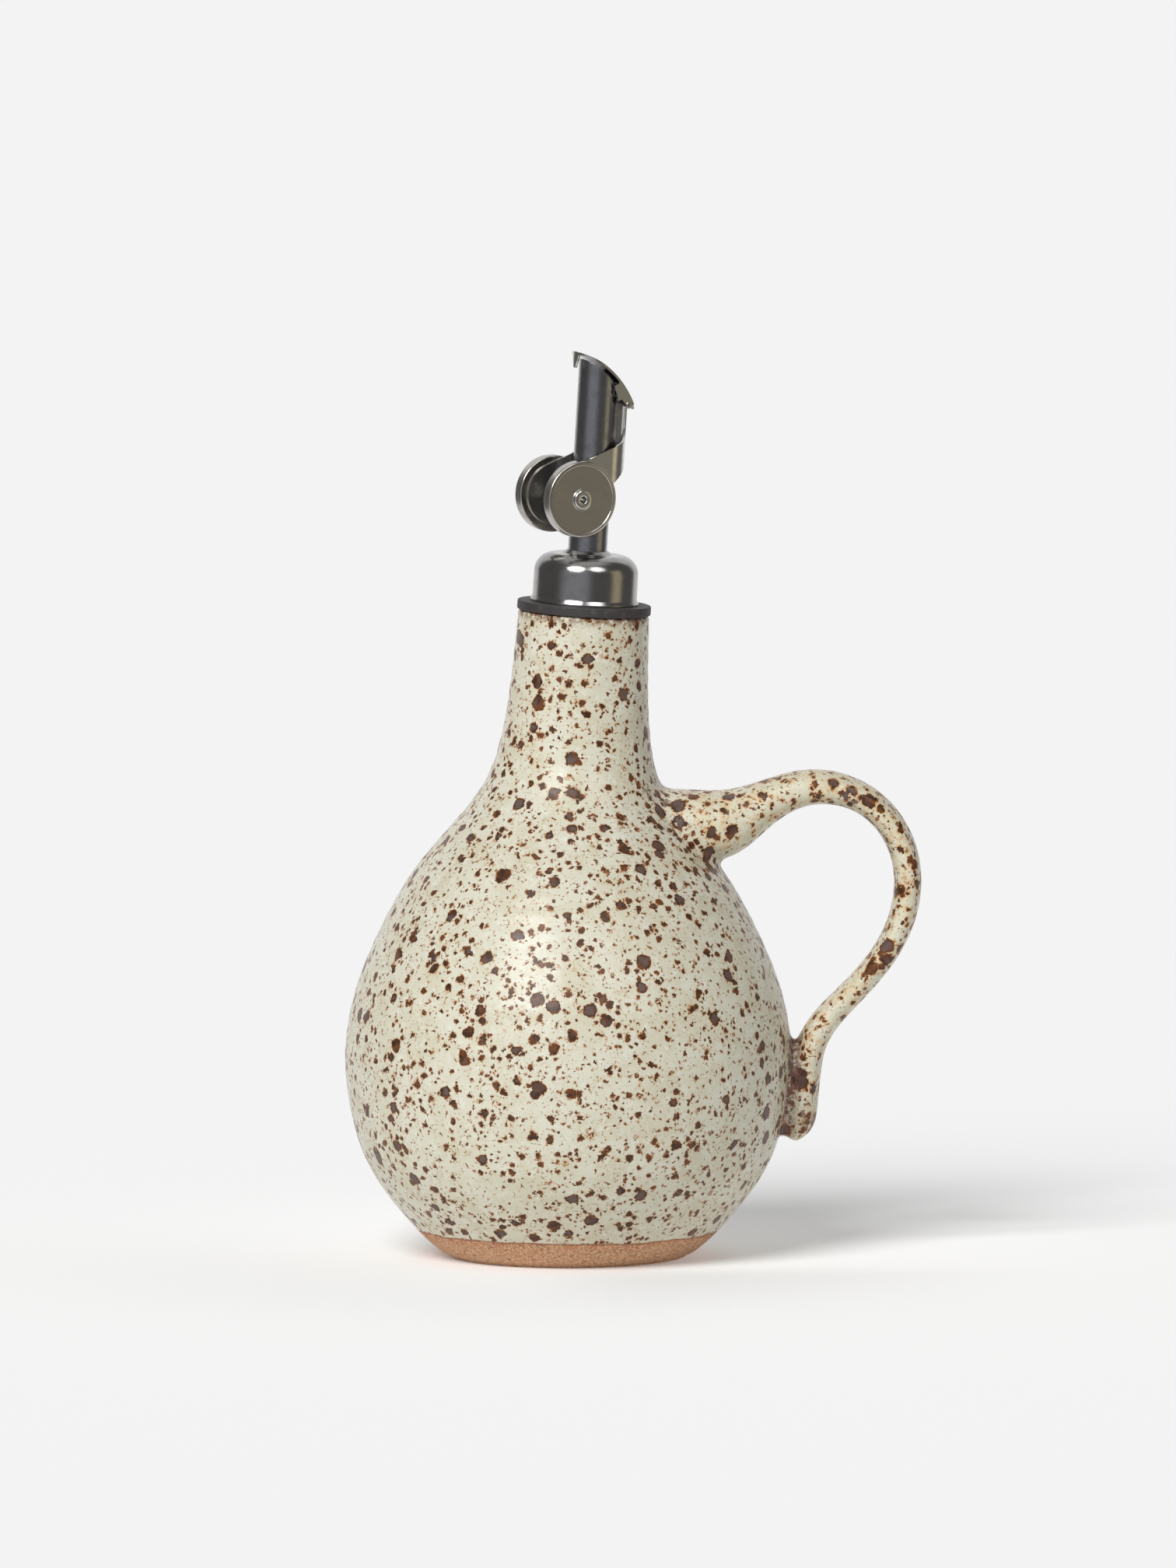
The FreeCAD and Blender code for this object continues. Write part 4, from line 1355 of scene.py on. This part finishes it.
@dataclass(frozen=True)
class Hinge:
    """Welded lug and headed pin behind the tube."""

    back: float = 6.4
    height: float = 54.0
    pin: float = 0.5
    head: float = 0.85
    half: float = 5.65
    head_depth: float = 0.45

    def build(self) -> None:
        """Copy the lug and turn the pin."""
        lug = folded_copy("hinge_lug")
        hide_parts("hinge_lug")
        finish = Steel("lug_steel", (150, 147, 142), Grain.ALONG, FLAP, 0.26, 0.7, 0.4)
        dress(lug, finish.material(), "pourer")
        end = self.half + self.head_depth
        outline = soften([
            (0.0, -end, 0), (self.head, -end, 0.25), (self.head, -self.half, 0.05),
            (self.pin, -self.half, 0.05), (self.pin, self.half, 0.05),
            (self.head, self.half, 0.05), (self.head, end, 0.25), (0.0, end, 0)], 4)
        place = FLAP.shifted((self.back, 0.0, self.height)).turned(rotation("X", 90))
        pin = turned_piece("hinge_rod", outline, place, 40, closed=False)
        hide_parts("hinge_pin")
        finish = Steel("pin_steel", (165, 162, 158), Grain.FACED, place, 0.2, 0.5, 0.2)
        dress(pin, finish.material(), "pourer")


@dataclass(frozen=True)
class Flap:
    """Folded sheet flap with its two turned weights and hollow rivets."""

    half: float = 6.0
    sheet: float = 0.6
    forward: float = 7.4
    height: float = 29.8
    radius: float = 9.9
    thickness: float = 3.2
    shank: float = 1.55
    rivet: float = 1.5
    bore: float = 0.85
    head: float = 2.5
    head_depth: float = 0.5
    tail: float = 2.2
    tail_depth: float = 0.35
    rim_width: float = 1.0
    sunk: float = 0.16

    def side(self, side: int) -> Axes:
        """Return the frame of one lobe, with its Z axis pointing out of the flap."""
        place = FLAP.shifted((-self.forward, side * self.half, self.height))
        return place.turned(rotation("X", -90 * side))

    def weight(self, name: str, node: str, side: int) -> bpy.types.Object:
        """Turn one weight: a rounded rim round a slightly sunken, faced disc.

        Args:
            name: The piece's name.
            node: The node that it stands for.
            side: -1 for the left, 1 for the right.

        Returns:
            The weight.
        """
        thick, rim = self.thickness, self.radius
        boss, floor = thick - 0.02, thick - self.sunk
        outline = soften([
            (self.shank, 0.0, 0), (rim, 0.0, 0.4), (rim, thick, 0.55),
            (rim - self.rim_width, thick, 0.12), (rim - self.rim_width - 0.15, floor, 0.1),
            (self.shank + 1.35, floor, 0.1), (self.shank + 1.2, boss, 0.05),
            (self.shank, boss, 0.05), (self.shank, 0.0, 0)], 6)
        place = self.side(side)
        piece = turned_piece(name, outline, place, 144)
        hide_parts(node)
        finish = Steel(node + "_steel", (182, 178, 172), Grain.FACED, place, 0.15, 0.8, 0.5)
        dress(piece, finish.material(), "flap")
        return piece

    def rivet_piece(self, name: str, node: str, side: int) -> bpy.types.Object:
        """Turn one hollow rivet with a rolled head.

        Args:
            name: The piece's name.
            node: The node that it stands for.
            side: -1 for the left, 1 for the right.

        Returns:
            The rivet.
        """
        low = -self.sheet - self.tail_depth
        top = self.thickness + self.head_depth
        outline = soften([
            (self.bore, low, 0), (self.tail, low, 0.15), (self.tail, -self.sheet, 0.05),
            (self.rivet, -self.sheet, 0.05), (self.rivet, self.thickness, 0.05),
            (self.head, self.thickness, 0.05), (self.head, top, 0.35),
            (self.bore, top, 0.3), (self.bore, low, 0)], 6)
        place = self.side(side)
        piece = turned_piece(name, outline, place, 56)
        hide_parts(node)
        finish = Steel(node + "_steel", (212, 209, 203), Grain.FACED, place, 0.12, 0.5, 0.25)
        dress(piece, finish.material(), "flap")
        return piece

    def build(self) -> None:
        """Copy the folded sheet, then turn its weights and rivets."""
        sheet = folded_copy("flap")
        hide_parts("flap")
        finish = Steel("sheet_steel", (205, 203, 198), Grain.ALONG, FLAP, 0.14, 0.6, 0.3)
        dress(sheet, finish.material(), "flap")
        for side, word in ((-1, "left"), (1, "right")):
            self.weight(word + "_disc", word + "_weight", side)
            self.rivet_piece(word + "_eyelet", word + "_weight_rivet", side)


@dataclass(frozen=True)
class Studio:
    """Pale floor, soft key light from the left and front, and the camera.

    The room is what polished surfaces mirror. Bearings are degrees round from the camera,
    positive to the right. Edges are where one part of the room fades into the next.
    """

    backdrop: Rgb = (243, 243, 243)
    room: Rgb = (108, 106, 104)
    window: Rgb = (176, 178, 184)
    wood: Rgb = (214, 202, 170)
    ceiling: Rgb = (214, 214, 212)
    window_edges: tuple[Span, Span] = ((-68.0, -40.0), (-4.0, 20.0))
    door_edges: tuple[Span, Span] = ((58.0, 66.0), (82.0, 90.0))
    backdrop_edge: Span = (126.0, 140.0)
    frieze_edge: Span = (0.3, 0.55)
    ceiling_edge: Span = (0.78, 0.95)
    lamp_direction: Triple = (0.388, -0.645, 0.658)
    lamp_edge: Span = (0.955, 0.985)
    lamp_glare: float = 3.6
    key_bearing: float = -25.0
    key_rise: float = 40.0
    key_strength: float = 2.6
    key_angle: float = 27.0
    fill: float = 0.12
    fill_above: float = 0.16
    aim: Triple = (5.1, 0.0, 121.9)
    elevation: float = 5.5
    distance: float = 8.0
    frame_height: float = 0.4032
    sensor: float = 36.0
    floor_half: float = 40.0
    floor_albedo: float = 0.9
    floor_glow: float = 0.215
    # The next two set the painted light and shade in the floor's glow round the foot.
    floor_light_and_shade: float = 0.09
    corner_shade: float = 0.1

    def camera(self) -> None:
        """Put a very long lens at the photograph's angle."""
        data = bpy.data.cameras.new("camera")
        data.sensor_fit = "AUTO"
        data.sensor_width = self.sensor
        data.lens = self.distance * self.sensor / self.frame_height
        data.clip_end = 200.0
        camera = bpy.data.objects.new("camera", data)
        tilt = math.radians(self.elevation)
        back = Vector((0.0, -math.cos(tilt), math.sin(tilt)))
        camera.location = Vector(self.aim) * MM + back * self.distance
        camera.rotation_euler = (-back).to_track_quat("-Z", "Y").to_euler()
        bpy.context.scene.collection.objects.link(camera)
        bpy.context.scene.camera = camera

    def key(self) -> None:
        """Add the soft key light."""
        data = bpy.data.lights.new("key", "SUN")
        data.energy = self.key_strength
        data.angle = math.radians(self.key_angle)
        lamp = bpy.data.objects.new("key", data)
        bearing, rise = math.radians(self.key_bearing), math.radians(self.key_rise)
        towards = Vector((
            math.sin(bearing) * math.cos(rise), -math.cos(bearing) * math.cos(rise),
            math.sin(rise)))
        lamp.rotation_euler = towards.to_track_quat("Z", "Y").to_euler()
        bpy.context.scene.collection.objects.link(lamp)

    def mirrored_room(self, graph: Graph, direction: object) -> bpy.types.NodeSocket:
        """Paint what polished surfaces mirror, by the direction that they look in.

        Args:
            graph: The world's nodes.
            direction: The direction.

        Returns:
            The colour: a dim room in front with a window and a wooden door, the pale backdrop
            behind, the ceiling above and one lamp.
        """
        x, y, z = graph.split(direction)
        bearing = graph.maths("ARCTAN2", x, 0.0 - y) * math.degrees(1.0)
        window, door = (
            bearing.rise(*left) * (1.0 - bearing.rise(*right))
            for left, right in (self.window_edges, self.door_edges))
        lamp = graph.node(
            "ShaderNodeVectorMath", {"operation": "DOT_PRODUCT"},
            {0: direction, 1: self.lamp_direction})
        glare = Wire(graph, lamp.outputs["Value"]).rise(*self.lamp_edge)
        return graph.cover(
            self.room, (window, self.window), (door, self.wood),
            (z.rise(*self.frieze_edge), self.room),
            (abs(bearing).rise(*self.backdrop_edge), self.backdrop),
            (z.rise(*self.ceiling_edge), self.ceiling), (glare, (self.lamp_glare,) * 3 + (1.0,)))

    def surround(self) -> None:
        """Light faintly from all round, and show the room to polished surfaces only."""
        world = bpy.data.worlds.new("surround")
        bpy.context.scene.world = world
        graph = Graph(world)
        rays = graph.node("ShaderNodeLightPath").outputs
        seen = Wire(graph, rays["Is Camera Ray"]).at_least(
            Wire(graph, rays["Is Transmission Ray"]))
        direction = graph.node("ShaderNodeTexCoord").outputs["Generated"]
        _, _, z = graph.split(direction)
        level = z.at_least(0.0) * self.fill_above + self.fill
        shown = graph.cover(
            (0, 0, 0), (level, (255, 255, 255)),
            (Wire(graph, rays["Is Glossy Ray"]), self.mirrored_room(graph, direction)),
            (seen, self.backdrop))
        background = graph.node("ShaderNodeBackground", None, {"Color": shown})
        graph.node("ShaderNodeOutputWorld", None, {"Surface": background.outputs[0]})

    def floor_material(self) -> bpy.types.Material:
        """Build the floor's pale sheet.

        It glows a little, with painted light in the cast shadow behind the foot to its right,
        and painted shade round the foot, most to its right in front. Polished surfaces see it
        end a little way in front.

        Returns:
            The material.
        """
        material = bpy.data.materials.new("pale_floor")
        graph = Graph(material)
        x, y, _ = graph.split(graph.node("ShaderNodeTexCoord").outputs["Object"])
        reach = (x**2.0 + y**2.0) ** 0.5
        out = reach.at_least(0.01)
        ahead = ((0.0 - y) / out).rise(-0.77, -0.6) * reach.rise(0.25, 0.8)
        ended = ahead * Wire(graph, graph.node("ShaderNodeLightPath").outputs["Is Glossy Ray"])
        # Painted light and shade: more glow in the cast shadow behind the foot to its right, less
        # in front of it.
        shade = (x * 0.42 + y * 0.91) / out * (1.0 - reach.rise(0.04, 0.2))
        # Painted contact shade: less glow on the floor in front of the foot, to its right.
        corner = x.rise(-0.02, 0.03) * (0.0 - y).rise(0.02, 0.05)
        corner = corner * (1.0 - reach.rise(0.05, 0.14))
        glow = graph.node("ShaderNodeEmission", None, {
            "Color": (1.0, 1.0, 1.0, 1.0),
            "Strength": shade * self.floor_light_and_shade - corner * self.corner_shade
            + self.floor_glow})
        plain = graph.node(
            "ShaderNodeBsdfDiffuse", None, {"Color": (self.floor_albedo,) * 3 + (1.0,)})
        both = graph.node("ShaderNodeAddShader", None, {0: plain.outputs[0], 1: glow.outputs[0]})
        clear = graph.node("ShaderNodeBsdfTransparent")
        sheet = graph.node(
            "ShaderNodeMixShader", None, {0: ended, 1: both.outputs[0], 2: clear.outputs[0]})
        graph.node("ShaderNodeOutputMaterial", None, {"Surface": sheet.outputs[0]})
        return material

    def floor(self) -> None:
        """Lay the floor."""
        half = self.floor_half
        mesh = bpy.data.meshes.new("floor")
        corners = [(-half, -half, 0), (half, -half, 0), (half, half, 0), (-half, half, 0)]
        mesh.from_pydata(corners, [], [(0, 1, 2, 3)])
        mesh.materials.append(self.floor_material())
        floor = bpy.data.objects.new("floor", mesh)
        bpy.context.scene.collection.objects.link(floor)

    def build(self) -> None:
        """Set the whole studio."""
        bpy.context.scene.view_settings.view_transform = "Standard"
        self.camera()
        self.key()
        self.surround()
        self.floor()


def main() -> None:
    """Build the studio and every sub-assembly."""
    logging.basicConfig(level=logging.INFO, format="%(name)s: %(message)s")
    Studio().build()
    Bottle().build()
    Stopper().build()
    Cap().build()
    spout = Spout()
    spout.tube()
    spout.air_tube()
    Hinge().build()
    Flap().build()


if __name__ == "__main__":
    main()
